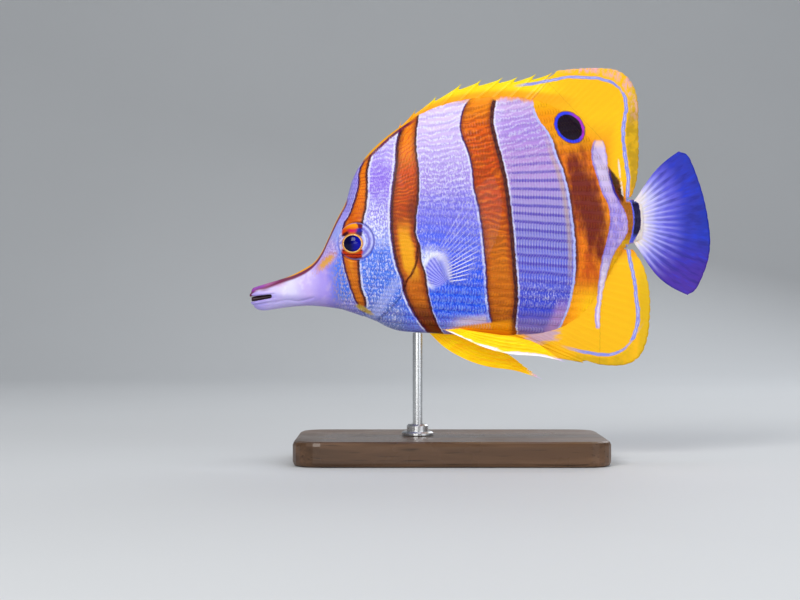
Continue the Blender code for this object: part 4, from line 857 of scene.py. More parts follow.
    # Painted highlight: each scale turns lighter towards its raised rear edge, whitish on the flank and a paler
    # orange and yellow on the bands
    plate_highlight = mix(banded, white, mix(0.25, orange, yellow))
    plate_highlight_mask = both(plate, smooth(spot, 1.0, 1.15), smooth(spot_front, -0.2, -0.6), minus(1.0, behind_dark))
    colour = lay(colour, plate_highlight, plate_highlight_mask, minus(0.13, times(banded, 0.06)))
    net.put(colour, end.inputs["Color"])
    # Painted light: the lower rear body, which faces down into shade, glows faintly in its own colour so that it
    # matches the bright anal fin below it
    thin = both(smooth(edge_4, 1.0, -3.0), smooth(z, 66.0, 48.0), skin)
    net.put(mix(thin, (0.0, 0.0, 0.0), colour), end.inputs["Glow"])
    height = plus(times(fine, 0.6), times(streak, 0.4))
    net.put(height, end.inputs["Height"])
    net.put(plus(times(cloud, 0.16), 0.34), end.inputs["Gloss"])
    return net.tree


def line_value(net, x, z, top, foot):
    """Distance behind the straight line from top to foot of the side view."""
    run_x, run_z = foot[0] - top[0], foot[1] - top[1]
    size = math.hypot(run_x, run_z)
    across = net.times(net.minus(x, top[0]), -run_z / size)
    return net.plus(across, net.times(net.minus(z, top[1]), run_x / size))


def inside_of(net, distance, soft):
    """1 where a distance is negative."""
    return net.smooth(distance, soft * 0.75, -soft)


def new_material(name):
    """A material, its net, its shader and the place on the object."""
    material = bpy.data.materials.new(name)
    material.use_nodes = True
    net = Net(material.node_tree)
    shader = material.node_tree.nodes["Principled BSDF"]
    place = net.node("ShaderNodeTexCoord").outputs["Object"]
    return material, net, shader, place


def shader_values(shader, **values):
    """Sets numbers on the shader's own sockets."""
    for key, value in values.items():
        socket = shader.inputs[key.replace("_", " ")]
        socket.default_value = (*value, 1.0) if isinstance(value, tuple) and socket.type == "RGBA" else value


def marked_material(name, fin, bump_size, plates=False):
    """Skin, scales or yellow fin, all with the same markings."""
    looks = bpy.context.scene.fish_looks
    material, net, shader, place = new_material(name)
    colours = {"Orange": looks.orange, "Yellow": looks.yellow, "White": looks.white, "Blue line": looks.blue,
        "Dark": looks.dark}

    def markings(label, values):
        made = net.node("ShaderNodeGroup", shared, node_tree=bpy.data.node_groups[label])
        for socket in made.inputs:
            if socket.name in colours:
                socket.default_value = (*colours[socket.name], 1.0)
        for label, value in values.items():
            net.put(value, made.inputs[label])
        return made

    view = net.node("ShaderNodeGroup", {"Wobble": 0.95}, node_tree=bpy.data.node_groups["Side view"])
    shared = {label: view.outputs[label] for label in ("X", "Z", "Row", "Column", "Off middle")}
    shared.update(zip(("Cloud", "Fine", "Streak", "Patchy"), grain(net, place)))
    values = {"Fin": fin, "Flank": (0.98, 0.44, 0.001)}
    if plates:
        # Share of the way towards each scale's rear edge, where the painted highlight lies
        uv = net.node("ShaderNodeUVMap", uv_map="Plate")
        split = net.node("ShaderNodeSeparateXYZ", {"Vector": uv.outputs["UV"]})
        values["Plate"] = net.smooth(split.outputs["X"], 0.45, 0.95)
    if not fin:
        flank = markings("Flank markings", {})
        values.update(Flank=flank.outputs["Color"], Banded=flank.outputs["Banded"])
        # A trace of the first group's result in what the second one is given makes the second one wait for the first
        trace = net.times(flank.outputs["Banded"], 1e-6)
        for label in ("X", "Z", "Cloud", "Fine", "Streak", "Patchy"):
            shared[label] = net.plus(shared[label], trace)
    group = markings("Fish markings", values)
    height = group.outputs["Height"]
    colour = group.outputs["Color"]
    if fin:
        ray = net.node("ShaderNodeAttribute", attribute_name="ray").outputs["Fac"]
        reach = net.node("ShaderNodeAttribute", attribute_name="reach").outputs["Fac"]
        shaded = net.either(net.both(net.smooth(ray, 0.5, 0.0), 0.08), net.both(net.smooth(reach, 0.22, 0.0), 0.35))
        colour = net.mix(shaded, colour, (0.90, 0.66, 0.40), "MULTIPLY")
    net.put(colour, shader.inputs["Base Color"])
    # Painted light: the Glow colour is emitted, to lift the shade of the lower rear body
    net.put(group.outputs["Glow"], shader.inputs["Emission Color"])
    net.put(group.outputs["Gloss"], shader.inputs["Roughness"])
    net.put(net.bump(height, 0.35, bump_size), shader.inputs["Normal"])
    shader_values(shader, Coat_Weight=0.06, Coat_Roughness=0.2, Subsurface_Weight=0.08, Subsurface_Scale=0.001,
        Specular_IOR_Level=0.22, Emission_Strength=0.24)
    return material


def make_skin_mesh():
    """The whole flesh as one closed loft with the small forms of the face."""
    t = np.concatenate([[k + j / n for j in range(n)] for k, n in enumerate(STEPS)] + [[len(STEPS)]])
    fine = (1 - np.cos(np.linspace(0, math.pi, 361))) / 2
    curve = flesh_place(np.repeat(t[:, None], 361, 1), np.repeat(fine[None], len(t), 0), -1)
    length = np.linalg.norm(np.diff(curve, axis=1), axis=2)
    middle = (curve[:, 1:] + curve[:, :-1]) / 2
    eye = np.hypot(middle[..., 0] - EYE_CENTRE[0], middle[..., 2] - EYE_CENTRE[1])
    weight = 1 + 2.2 * bump_of(eye, 8.5) + 0.8 * bump_of(middle[..., 2] - 66.0, 14.0)
    weight += 1.5 * bump_of(mouth_gap(middle[..., 0], middle[..., 2]), 0.8) * (middle[..., 0] < -64.0)
    weight += 2.0 * bump_of(middle[..., 1], 1.2)
    run = np.concatenate([np.zeros((len(t), 1)), np.cumsum(length * weight, axis=1)], axis=1)
    share = np.stack([np.interp(np.linspace(0, row[-1], SIDE_POINTS + 1), row, fine) for row in run])
    rows = np.repeat(t[:, None], SIDE_POINTS + 1, 1)
    left = shape_eye_socket(skin_place(rows, share, -1), -1)
    right = shape_eye_socket(skin_place(rows, share, 1), 1)
    ring = np.concatenate([left, right[:, -2:0:-1]], axis=1)
    ring[:, 0, 1] = sway(ring[:, 0, 0])
    ring[:, SIDE_POINTS, 1] = sway(ring[:, SIDE_POINTS, 0])
    count = ring.shape[1]
    tip_centre = ring[0].mean(axis=0)
    lean = [k / 7 * math.pi / 2 for k in range(6, 0, -1)]
    nose = [tip_centre + (ring[0] - tip_centre) * math.cos(a) + np.array([-0.3 * math.sin(a), 0, 0]) for a in lean]
    rings = np.concatenate([np.stack(nose), ring])
    points = np.concatenate([rings.reshape(-1, 3), [tip_centre - (0.3, 0, 0), ring[-1].mean(axis=0)]])
    index = np.arange(len(rings) * count).reshape(len(rings), count)
    following = np.roll(index, -1, axis=1)
    quads = np.stack([index[:-1], following[:-1], following[1:], index[1:]], axis=-1).reshape(-1, 4)
    nose_point, tail_point = len(points) - 2, len(points) - 1
    caps = [(nose_point, int(following[0, j]), int(index[0, j])) for j in range(count)]
    caps += [(tail_point, int(index[-1, j]), int(following[-1, j])) for j in range(count)]
    return points, [tuple(q) for q in quads.tolist()] + caps


def mouth_cutter():
    """The gap of the open mouth, as a solid right across the snout."""
    x, z = MOUTH_CORNER
    front = x - MOUTH_REACH
    drop = MOUTH_SLOPE * MOUTH_REACH
    half, wide = mouth_half(x), mouth_half(front)
    outline = [(front, z - drop + wide), (front, z - drop - wide), (x - 0.45, z - half), (x - 0.12, z - half * 0.7),
        (x, z - half * 0.25), (x, z + half * 0.25), (x - 0.12, z + half * 0.7), (x - 0.45, z + half)]
    count = len(outline)
    points = [(px, y, pz) for y in (-8.0, 8.0) for px, pz in outline]
    faces = [tuple(range(count))[::-1], tuple(range(count, 2 * count))]
    faces += [(k, (k + 1) % count, count + (k + 1) % count, count + k) for k in range(count)]
    return points, faces


def mouth_core():
    """The tongue and palate between the jaws, rounded in front, painted near black as the shade inside the open
    mouth.
    """
    points, around, steps = [], 16, 10
    front, back = MOUTH_CORNER[0] - 6.7, MOUTH_CORNER[0] + 0.4
    for i in range(steps):
        share = i / (steps - 1)
        x = front + (back - front) * share
        size = math.sqrt(min(1.0, 0.5 + 2.5 * share))
        middle = MOUTH_CORNER[1] - MOUTH_SLOPE * (MOUTH_CORNER[0] - x)
        high = mouth_half(x) * size * 1.02
        points += [(x, 0.9 * size * math.cos(turn), middle + high * math.sin(turn)) for turn in circle(around)]
    return points, ring_faces(steps, around) + [tuple(range(around)),
        tuple(range((steps - 1) * around, steps * around))]


class FISH_OT_skin(bpy.types.Operator):
    """Build the fish's skin as one closed surface, with its mouth, gill covers and nostrils"""

    bl_idname = "fish.skin"
    bl_label = "Skin"

    def execute(self, context):
        material = marked_material("Marked skin", 0.0, 0.00012)
        skin = facing_out(mesh_object("skin", *make_skin_mesh(), material))
        lining, net, shader, place = new_material("Mouth lining")
        # Painted shade: the mouth's lining and the walls of its cut are near black with a faint mottling, for the
        # shade inside the open mouth
        mouth_shade = net.mix(net.noise(place, 900.0), (0.020, 0.006, 0.014), (0.060, 0.018, 0.030))
        net.put(mouth_shade, shader.inputs["Base Color"])
        shader_values(shader, Roughness=0.35)
        cutter = facing_out(mesh_object("mouth_gap", *mouth_cutter(), lining))
        skin.data.materials.append(lining)
        cut = skin.modifiers.new("Open mouth", "BOOLEAN")
        cut.operation = "DIFFERENCE"
        cut.material_mode = "TRANSFER"
        cut.object = cutter
        applied(skin)
        bpy.data.objects.remove(cutter)
        skin.data.set_sharp_from_angle(angle=math.radians(50))
        piece(facing_out(mesh_object("mouth_inside", *mouth_core(), lining)), "pale_skin")
        piece(skin, "pale_skin", "upper_jaw", "lower_jaw", "snout", "head", "gill_cover_left", "gill_cover_right",
            "body", "tail_base")
        return {"FINISHED"}


def plate_mesh(name):
    """One scale: a domed plate with a round rear edge and a thin wall down to the skin."""
    columns, rows = 4, 6
    points, uvs = [], []
    for i in range(columns):
        u = i / (columns - 1)
        for j in range(rows):
            v = 2 * j / (rows - 1) - 1
            rear = 0.98 * math.sqrt(max(0.0, 1 - 0.62 * v * v))
            x = -0.75 + (0.75 + rear) * u
            height = 0.96 * v * (1 - 0.28 * u**3)
            lift = -0.9 + 1.9 * u - 0.55 * v * v
            points.append((x, height, lift))
            uvs.append((u, j / (rows - 1)))
    faces = [(i * rows + j, (i + 1) * rows + j, (i + 1) * rows + j + 1,
        i * rows + j + 1) for i in range(columns - 1) for j in range(rows - 1)]
    rim = [i * rows for i in range(columns)] + [(columns - 1) * rows + j for j in range(1, rows)]
    rim += [i * rows + rows - 1 for i in range(columns - 2, -1, -1)]
    first = len(points)
    for k in rim:
        x, y, _ = points[k]
        points.append((x * 0.97, y * 0.97, -1.6))
        uvs.append(uvs[k])
    faces += [(rim[k], first + k, first + k + 1, rim[k + 1]) for k in range(len(rim) - 1)]
    mesh = bpy.data.meshes.new(name)
    mesh.from_pydata(points, [], faces)
    layer = mesh.uv_layers.new(name="Plate")
    for loop in mesh.loops:
        layer.data[loop.index].uv = uvs[loop.vertex_index]
    mesh.shade_smooth()
    obj = bpy.data.objects.new(name, mesh)
    bpy.context.scene.collection.objects.link(obj)
    return obj


def row_height(row, x):
    """The height at which a scale row passes x."""
    z = np.array(row, float)
    for _ in range(40):
        tilt = ROW_TILT * smoothstep(z, TILT_FROM, TILT_TO)
        z = row + (tilt - ROW_DROP) * (x - ROW_PIVOT)
    return z


def scale_sites(side, pitch_x, pitch_row, keep):
    """Where scales sit: place, outward and rearward directions and root on the unwrapped skin."""
    rows = np.arange(30.0, 150.0, pitch_row)
    columns = np.arange(-60.0, 52.0, pitch_x)
    row, x = np.meshgrid(rows, columns, indexing="ij")
    x = x + (np.arange(len(rows)) % 2)[:, None] * pitch_x / 2
    row, x = row.ravel() + ROW_PITCH / 2, x.ravel()
    z = row_height(row, x)
    t, share = find_place(x, z)
    good = (share > 0.015) & (share < 0.985) & (t > 0.2) & (t < 26.4) & keep(x, z)
    x, z, t, share = x[good], z[good], t[good], share[good]
    place = skin_place(t, share, side)
    normal = flesh_normal(t, share, side)
    ahead = np.stack([np.ones_like(x), np.zeros_like(x), np.zeros_like(x)], axis=-1)
    step = row_height(row[good], x + 0.5) - row_height(row[good], x - 0.5)
    ahead[:, 2] = step
    ahead -= (ahead * normal).sum(-1, keepdims=True) * normal
    ahead /= np.linalg.norm(ahead, axis=-1, keepdims=True)
    root = np.stack([0.02 + 0.96 * t / (len(SECTIONS) - 1), 0.02 + 0.96 * share], axis=-1)
    return place, normal, ahead, root


def scatter_tree(name):
    """Geometry nodes that set a scale on every site, realize them and give each a patch of the unwrap."""
    tree = bpy.data.node_groups.new(name, "GeometryNodeTree")
    face = tree.interface
    face.new_socket("Geometry", in_out="OUTPUT", socket_type="NodeSocketGeometry")
    face.new_socket("Geometry", in_out="INPUT", socket_type="NodeSocketGeometry")
    for label, kind in (
        ("Plate", "NodeSocketObject"), ("Size", "NodeSocketVector"), ("Unevenness", "NodeSocketFloat"),
        ("Seed", "NodeSocketInt"), ("Patch", "NodeSocketFloat"), ("Finish", "NodeSocketMaterial"),
    ):
        face.new_socket(label, in_out="INPUT", socket_type=kind)
    net = Net(tree)
    start, end = net.node("NodeGroupInput"), net.node("NodeGroupOutput")

    def attribute(label, kind):
        return net.node("GeometryNodeInputNamedAttribute", {"Name": label}, data_type=kind).outputs["Attribute"]

    def spread(low, high, offset):
        chance = net.node("FunctionNodeRandomValue", data_type="FLOAT_VECTOR")
        chance.inputs[0].default_value, chance.inputs[1].default_value = (low,) * 3, (high,) * 3
        seed = net.node("ShaderNodeMath", operation="ADD")
        net.put(start.outputs["Seed"], seed.inputs[0])
        seed.inputs[1].default_value = offset
        net.put(seed.outputs[0], chance.inputs["Seed"])
        return chance.outputs[0]

    info = net.node("GeometryNodeObjectInfo", {"Object": start.outputs["Plate"]})
    points = net.node("GeometryNodeMeshToPoints", {"Mesh": start.outputs["Geometry"]})
    rough = net.node("ShaderNodeVectorMath", {0: spread(-1.0, 1.0, 0)}, operation="SCALE")
    net.put(start.outputs["Unevenness"], rough.inputs["Scale"])
    normal = net.node("ShaderNodeVectorMath", {0: attribute("outward", "FLOAT_VECTOR")}, operation="ADD")
    net.put(rough.outputs[0], normal.inputs[1])
    turn = net.node("FunctionNodeAxesToRotation", primary_axis="Z", secondary_axis="X")
    net.put(normal.outputs[0], turn.inputs[0])
    net.put(attribute("rearward", "FLOAT_VECTOR"), turn.inputs[1])
    size = net.node("ShaderNodeVectorMath", {0: spread(0.93, 1.07, 7)}, operation="MULTIPLY")
    net.put(start.outputs["Size"], size.inputs[1])
    place = net.node("GeometryNodeInstanceOnPoints",
        {"Points": points.outputs[0], "Instance": info.outputs["Geometry"], "Rotation": turn.outputs[0],
        "Scale": size.outputs[0]})
    real = net.node("GeometryNodeRealizeInstances", {"Geometry": place.outputs[0]})
    centred = net.node("ShaderNodeVectorMath", {0: attribute("Plate", "FLOAT_VECTOR"), 1: (-0.5, -0.5, 0.0)},
        operation="ADD")
    patch = net.node("ShaderNodeVectorMath", {0: centred.outputs[0]}, operation="SCALE")
    net.put(start.outputs["Patch"], patch.inputs["Scale"])
    unwrap = net.node("ShaderNodeVectorMath", {0: patch.outputs[0], 1: attribute("root", "FLOAT_VECTOR")},
        operation="ADD")
    store = net.node("GeometryNodeStoreNamedAttribute", {"Geometry": real.outputs[0], "Name": "OFBake"},
        data_type="FLOAT2", domain="CORNER")
    net.put(unwrap.outputs[0], store.inputs["Value"])
    paint = net.node("GeometryNodeSetMaterial", {"Geometry": store.outputs[0], "Material": start.outputs["Finish"]})
    net.put(paint.outputs[0], end.inputs["Geometry"])
    return tree


def lay_scales(name, side, pitch_x, pitch_row, size, keep, seed, material, plate):
    """One side's coat of scales as a plain mesh."""
    looks = bpy.context.scene.fish_looks
    places, normals, ahead, root = scale_sites(side, pitch_x, pitch_row, keep)
    coat = mesh_object(name, places, [])
    for label, values in (("outward", normals), ("rearward", ahead), ("root", np.c_[root, np.zeros(len(root))])):
        store = coat.data.attributes.new(label, "FLOAT_VECTOR", "POINT")
        store.data.foreach_set("vector", values.astype(np.float32).ravel())
    modifier = coat.modifiers.new("Scales", "NODES")
    modifier.node_group = bpy.data.node_groups["Scale coat"]
    sockets = {item.name: item.identifier for item in modifier.node_group.interface.items_tree
               if item.item_type == "SOCKET" and item.in_out == "INPUT"}
    for label, value in (
        ("Plate", plate), ("Size", [v * MM for v in size]), ("Unevenness", looks.scale_unevenness),
        ("Seed", seed), ("Patch", PATCH_SIZE), ("Finish", material),
    ):
        modifier[sockets[label]] = value
    applied(coat)
    for label in ("outward", "rearward", "root"):
        if label in coat.data.attributes:
            coat.data.attributes.remove(coat.data.attributes[label])
    coat.data.shade_smooth()
    return piece(coat, "copper_skin")


def off_eye(x, z, clear):
    """True outside the eye and its rim."""
    return np.hypot(x - EYE_CENTRE[0], z - EYE_CENTRE[1]) > clear


def on_cheek(x, z):
    """The part of the head with small scales."""
    gill = line_distance(x, z, COAT_EDGE)
    return (gill < -0.3) & (x > -47.0 + 0.06 * np.abs(z - 70.0)) & off_eye(x, z, 7.6)


def on_flank(x, z):
    """The part of the body with full scales."""
    gill = line_distance(x, z, COAT_EDGE)
    lobe = np.hypot((x + 14.0) / 3.6, (z - 62.5) / 5.6) > 1.0
    return (gill > 0.5) & lobe


class FISH_OT_scales(bpy.types.Operator):
    """Lay the scales of both flanks and cheeks over the skin"""

    bl_idname = "fish.scales"
    bl_label = "Scales"

    def execute(self, context):
        looks = context.scene.fish_looks
        material = marked_material("Marked scales", 0.0, 0.00005, plates=True)
        scatter_tree("Scale coat")
        plate = plate_mesh("plate")
        for name, side, seed in (("left", -1, 11), ("right", 1, 12)):
            lay_scales(f"flank_scales_{name}", side, COLUMN_PITCH, ROW_PITCH, (0.92, 1.30, looks.scale_lift),
                on_flank, seed, material, plate)
            lay_scales(f"cheek_scales_{name}", side, COLUMN_PITCH * 0.8, ROW_PITCH / 2,
                (0.74, 0.70, looks.scale_lift * 0.8), on_cheek, seed + 10, material, plate)
        bpy.data.objects.remove(plate)
        return {"FINISHED"}


def eye_ball(side, rings=40, around=64):
    """The eyeball's outer face, a flattened ball with a slight bulge over the lens."""
    points, matrix = [], np.array(eye_matrix(side))
    for i in range(1, rings + 1):
        lean = math.pi * i / (rings + 1)
        wide = EYE_RADIUS * math.sin(lean)
        points += [(wide * math.cos(turn), wide * math.sin(turn),
            EYE_DEPTH * math.cos(lean)) for turn in circle(around)]
    points += [(0.0, 0.0, EYE_DEPTH), (0.0, 0.0, -EYE_DEPTH)]
    faces = [(a, d, c, b) for a, b, c, d in ring_faces(rings, around)]
    top, bottom = len(points) - 2, len(points) - 1
    faces += [(top, j, (j + 1) % around) for j in range(around)]
    last = (rings - 1) * around
    faces += [(bottom, last + (j + 1) % around, last + j) for j in range(around)]
    return np.array(points) @ matrix[:3, :3].T + matrix[:3, 3], faces


def eye_material():
    """Iris: a clear lavender rim with fine arcs, and the copper band over and under the pupil."""
    material, net, shader, place = new_material("Iris")
    plus, minus, times, smooth, mix, lay, both = net.words("plus minus times smooth mix lay both")
    split = net.node("ShaderNodeSeparateXYZ", {"Vector": place})
    x, z = net.in_mm(split, "X"), net.in_mm(split, "Z")
    far = net.oval(x, z, EYE_CENTRE, (1.0, 1.0))
    pupil = net.oval(x, z, PUPIL_CENTRE, PUPIL_RADII)
    fleck = net.noise(place, 900.0, 3.0, 0.6)
    colour = mix(smooth(fleck, 0.38, 0.64), (0.28, 0.28, 0.80), (0.48, 0.49, 0.92))
    colour = lay(colour, (0.86, 0.70, 0.82), smooth(x, -43.6, -45.0), smooth(fleck, 0.4, 0.6))
    right = smooth(x, -40.6, -38.2)
    for low, high, share, arc in ((2.9, 3.4, 0.75, (0.82, 0.83, 1.0)), (4.1, 4.8, 0.8, (0.17, 0.14, 0.60)),
                                  (5.2, 5.6, 0.7, (0.74, 0.76, 1.0))):
        colour = lay(colour, arc, net.between(far, low, high, 0.25), right, share)
    uneven = times(minus(fleck, 0.5), 1.1)
    band_x = plus(x, uneven)
    band = both(smooth(band_x, -45.3, -44.7), smooth(band_x, -38.0, -38.6))
    upper = smooth(z, 72.0, 72.7)
    lower = smooth(z, 68.8, 68.0)
    above = mix(smooth(z, 74.2, 76.2), (0.62, 0.06, 0.001), (0.98, 0.34, 0.002))
    high = plus(z, times(uneven, 0.8))
    slope = plus(band_x, times(minus(z, 74.5), 0.45))
    above = lay(above, (0.14, 0.006, 0.03), smooth(slope, -39.6, -39.0))
    above = lay(above, (0.05, 0.001, 0.01), smooth(pupil, 1.72, 1.50), smooth(band_x, -42.2, -43.2))
    stripe = both(net.between(high, 73.8, 74.7, 0.3), smooth(slope, -43.6, -42.4))
    above = lay(above, (0.56, 0.001, 0.08), stripe)
    navy = both(smooth(minus(slope, times(z, 0.9)), -107.8, -106.6), smooth(high, 75.4, 74.7))
    above = mix(navy, above, mix(smooth(high, 73.4, 74.2), (0.03, 0.004, 0.09), (0.006, 0.006, 0.28)))
    colour = lay(colour, above, band, upper)
    below = mix(smooth(z, 65.0, 66.4), (0.10, 0.006, 0.003), (0.60, 0.04, 0.001))
    below = lay(below, (0.10, 0.004, 0.004), smooth(net.math("PINGPONG", plus(z, uneven), 0.6), 0.35, 0.55))
    colour = lay(colour, below, band, lower)
    colour = lay(colour, (0.26, 0.26, 0.66), smooth(far, 5.45, 6.0))
    colour = lay(colour, (0.60, 0.22, 0.02), smooth(pupil, 1.30, 1.12))
    colour = lay(colour, (0.002, 0.002, 0.05), smooth(pupil, 1.04, 0.98))
    net.put(colour, shader.inputs["Base Color"])
    shader_values(shader, Roughness=0.4, Specular_IOR_Level=0.12)
    return material


def lens_material():
    """The pupil, a deep navy under a clear lens, with a painted blue sheen towards its rear side."""
    material, net, shader, place = new_material("Pupil")
    split = net.node("ShaderNodeSeparateXYZ", {"Vector": place})
    # Painted highlight: the pupil turns a brighter blue towards its rear side, as a sheen of light in the lens
    glow = net.minus(split.outputs["X"], net.times(net.noise(place, 300.0), 0.0016))
    deep = net.mix(net.smooth(glow, -0.0436, -0.0402), (0.0005, 0.0005, 0.03), (0.002, 0.003, 0.34))
    net.put(deep, shader.inputs["Base Color"])
    shader_values(shader, Roughness=0.1, Coat_Weight=0.08, Coat_Roughness=0.03, Specular_IOR_Level=0.16)
    return material


def on_eye(x, z, side):
    """The point and direction of the eyeball's face at x, z of the side view."""
    matrix = eye_matrix(side)
    inverse = matrix.inverted()
    start = inverse @ Vector((x, side * 40.0, z))
    ray = (inverse.to_3x3() @ Vector((0.0, -side, 0.0))).normalized()
    scale = Vector((1 / EYE_RADIUS, 1 / EYE_RADIUS, 1 / EYE_DEPTH))
    s, r = start * scale, ray * scale
    a, b, c = r.dot(r), 2 * s.dot(r), s.dot(s) - 1
    hit = start + ray * ((-b - math.sqrt(max(0.0, b * b - 4 * a * c))) / (2 * a))
    normal = Vector((hit.x / EYE_RADIUS**2, hit.y / EYE_RADIUS**2, hit.z / EYE_DEPTH**2)).normalized()
    return matrix @ hit, matrix.to_3x3() @ normal


def lens_dome(side, rings=10, around=40):
    """The pupil's bulging lens and the gold ring round it."""
    points = []
    for i in range(rings):
        reach = (rings - i) / rings
        for turn in circle(around):
            x = PUPIL_CENTRE[0] + PUPIL_RADII[0] * reach * math.cos(turn)
            z = PUPIL_CENTRE[1] + PUPIL_RADII[1] * reach * math.sin(turn)
            place, normal = on_eye(x, z, side)
            points.append(place + normal * (0.55 * (1 - reach**2) - 0.04))
    place, normal = on_eye(*PUPIL_CENTRE, side)
    points.append(place + normal * 0.51)
    faces = ring_faces(rings, around)
    last = (rings - 1) * around
    faces += [(last + j, last + (j + 1) % around, len(points) - 1) for j in range(around)]
    faces.append(tuple(range(around))[::-1])
    return points, faces


def ring_tube(side, thick=0.17, around=56, sides=8):
    """A thin ring round the pupil."""
    points = []
    for turn in circle(around):
        out = Vector((math.cos(turn), 0.0, math.sin(turn)))
        x = PUPIL_CENTRE[0] + (PUPIL_RADII[0] + 0.12) * out.x
        z = PUPIL_CENTRE[1] + (PUPIL_RADII[1] + 0.12) * out.z
        place, normal = on_eye(x, z, side)
        flat = normal * 0.8
        points += [place + thick * (out * math.cos(lean) + flat * math.sin(lean)) for lean in circle(sides)]
    return points, ring_faces(around, sides, closed=True)


class FISH_OT_eyes(bpy.types.Operator):
    """Build both eyes, with iris, lens and the thin ring round the pupil"""

    bl_idname = "fish.eyes"
    bl_label = "Eyes"

    def execute(self, context):
        iris, pupil = eye_material(), lens_material()
        gold, net, shader, place = new_material("Gold ring")
        tint = net.mix(net.smooth(net.noise(place, 2400.0), 0.35, 0.65), (0.80, 0.34, 0.03), (1.0, 0.62, 0.20))
        net.put(tint, shader.inputs["Base Color"])
        shader_values(shader, Roughness=0.25, Coat_Weight=0.6)
        for name, side in (("left", -1), ("right", 1)):
            ball = facing_out(mesh_object(f"eyeball_{name}", *eye_ball(side), iris))
            piece(ball, "eye", f"eye_{name}")
            piece(facing_out(mesh_object(f"lens_{name}", *lens_dome(side), pupil)), "eye")
            piece(facing_out(mesh_object(f"pupil_ring_{name}", *ring_tube(side), gold)), "eye")
        return {"FINISHED"}


def sheet_mesh(name, centre, half, attributes, material):
    """A closed thin fin from a grid of centre points and half thicknesses."""
    across, along = half.shape
    near, far = centre.copy(), centre.copy()
    near[..., 1] += sway(centre[..., 0]) - half
    far[..., 1] += sway(centre[..., 0]) + half
    points = np.concatenate([near.reshape(-1, 3), far.reshape(-1, 3)])
    index = np.arange(across * along).reshape(across, along)
    other = index + across * along
    faces = []
    for grid, turned in ((index, False), (other, True)):
        quads = np.stack([grid[:-1, :-1], grid[1:, :-1], grid[1:, 1:], grid[:-1, 1:]], axis=-1).reshape(-1, 4)
        faces += [tuple(q[::-1] if turned else q) for q in quads.tolist()]
    edge = list(index[:-1, 0]) + list(index[-1, :-1]) + list(index[:0:-1, -1]) + list(index[0, :0:-1])
    edge = [int(k) for k in edge]
    shift = across * along
    faces += [(a, a + shift, b + shift, b) for a, b in zip(edge, edge[1:] + edge[:1])]
    fin = facing_out(mesh_object(name, points, faces, material))
    for label, values in attributes.items():
        store = fin.data.attributes.new(label, "FLOAT", "POINT")
        store.data.foreach_set("value", np.concatenate([values.ravel()] * 2).astype(np.float32))
    return fin


def ray_profile(phase, v, split_from=0.45):
    """How much of a ray stands at a phase across it; rays fork towards the margin."""
    away = np.abs(phase - 0.5)
    fork = smoothstep(v, split_from, 0.9)
    return (1 - fork) * bump_of(away, 0.17) + fork * 0.85 * bump_of(away - 0.19, 0.11)


def blend_rows(root, tip, rows, bulge=None):
    """Grid of points from a root line to a tip line, with an optional bulge."""
    v = np.linspace(0, 1, rows)[None, :, None]
    grid = root[:, None, :] * (1 - v) + tip[:, None, :] * v
    if bulge is not None:
        grid = grid + bulge[:, None, :] * np.sin(math.pi * v**1.4)
    return np.stack([grid[..., 0], np.zeros(grid.shape[:2]), grid[..., 1]], axis=-1)


def soft_fin(root_line, margin, rays, per_ray=8, rows=30, bulge_at=None, swell=0.0, scallop=0.22, ridge=0.09,
        round_off=0.0):
    """Centre grid, half thicknesses and ray mask of a fin of soft rays."""
    count = rays * per_ray + 1
    u = np.linspace(0, 1, count)
    root, tip = smooth_line(root_line, count), smooth_line(margin, count)
    phase = (u * rays) % 1.0
    away = np.abs(phase - 0.5) * 2
    run = tip - root
    run /= np.linalg.norm(run, axis=1, keepdims=True)
    uneven = 0.5 + 0.5 * np.sin(np.floor(u * rays) * 2.4)
    corner = round_off * (bump_of(u, 0.035) + bump_of(u - 1, 0.035))
    tip = tip - run * (scallop * away**2 * (0.6 + 0.8 * uneven) + corner)[:, None]
    bulge = None if bulge_at is None else np.array([bulge_at(value) for value in u])
    centre = blend_rows(root, tip, rows, bulge)
    v = np.linspace(0, 1, rows)[None]
    ray = ray_profile(phase[:, None], v) * smoothstep(v, -0.02, 0.3)
    thick = 0.42 + swell * np.sin(math.pi * u)[:, None]
    half = thick + (0.13 - thick) * v**0.8 + ridge * (1 - 0.5 * v) * ray
    half *= 1 - 0.75 * smoothstep(v, 0.965, 1.0)
    centre[..., 1] += 0.16 * np.sin(u * 2 * math.pi * 2.5)[:, None] * v**2
    reach = np.repeat(v, count, axis=0)
    return centre, half, ray, reach


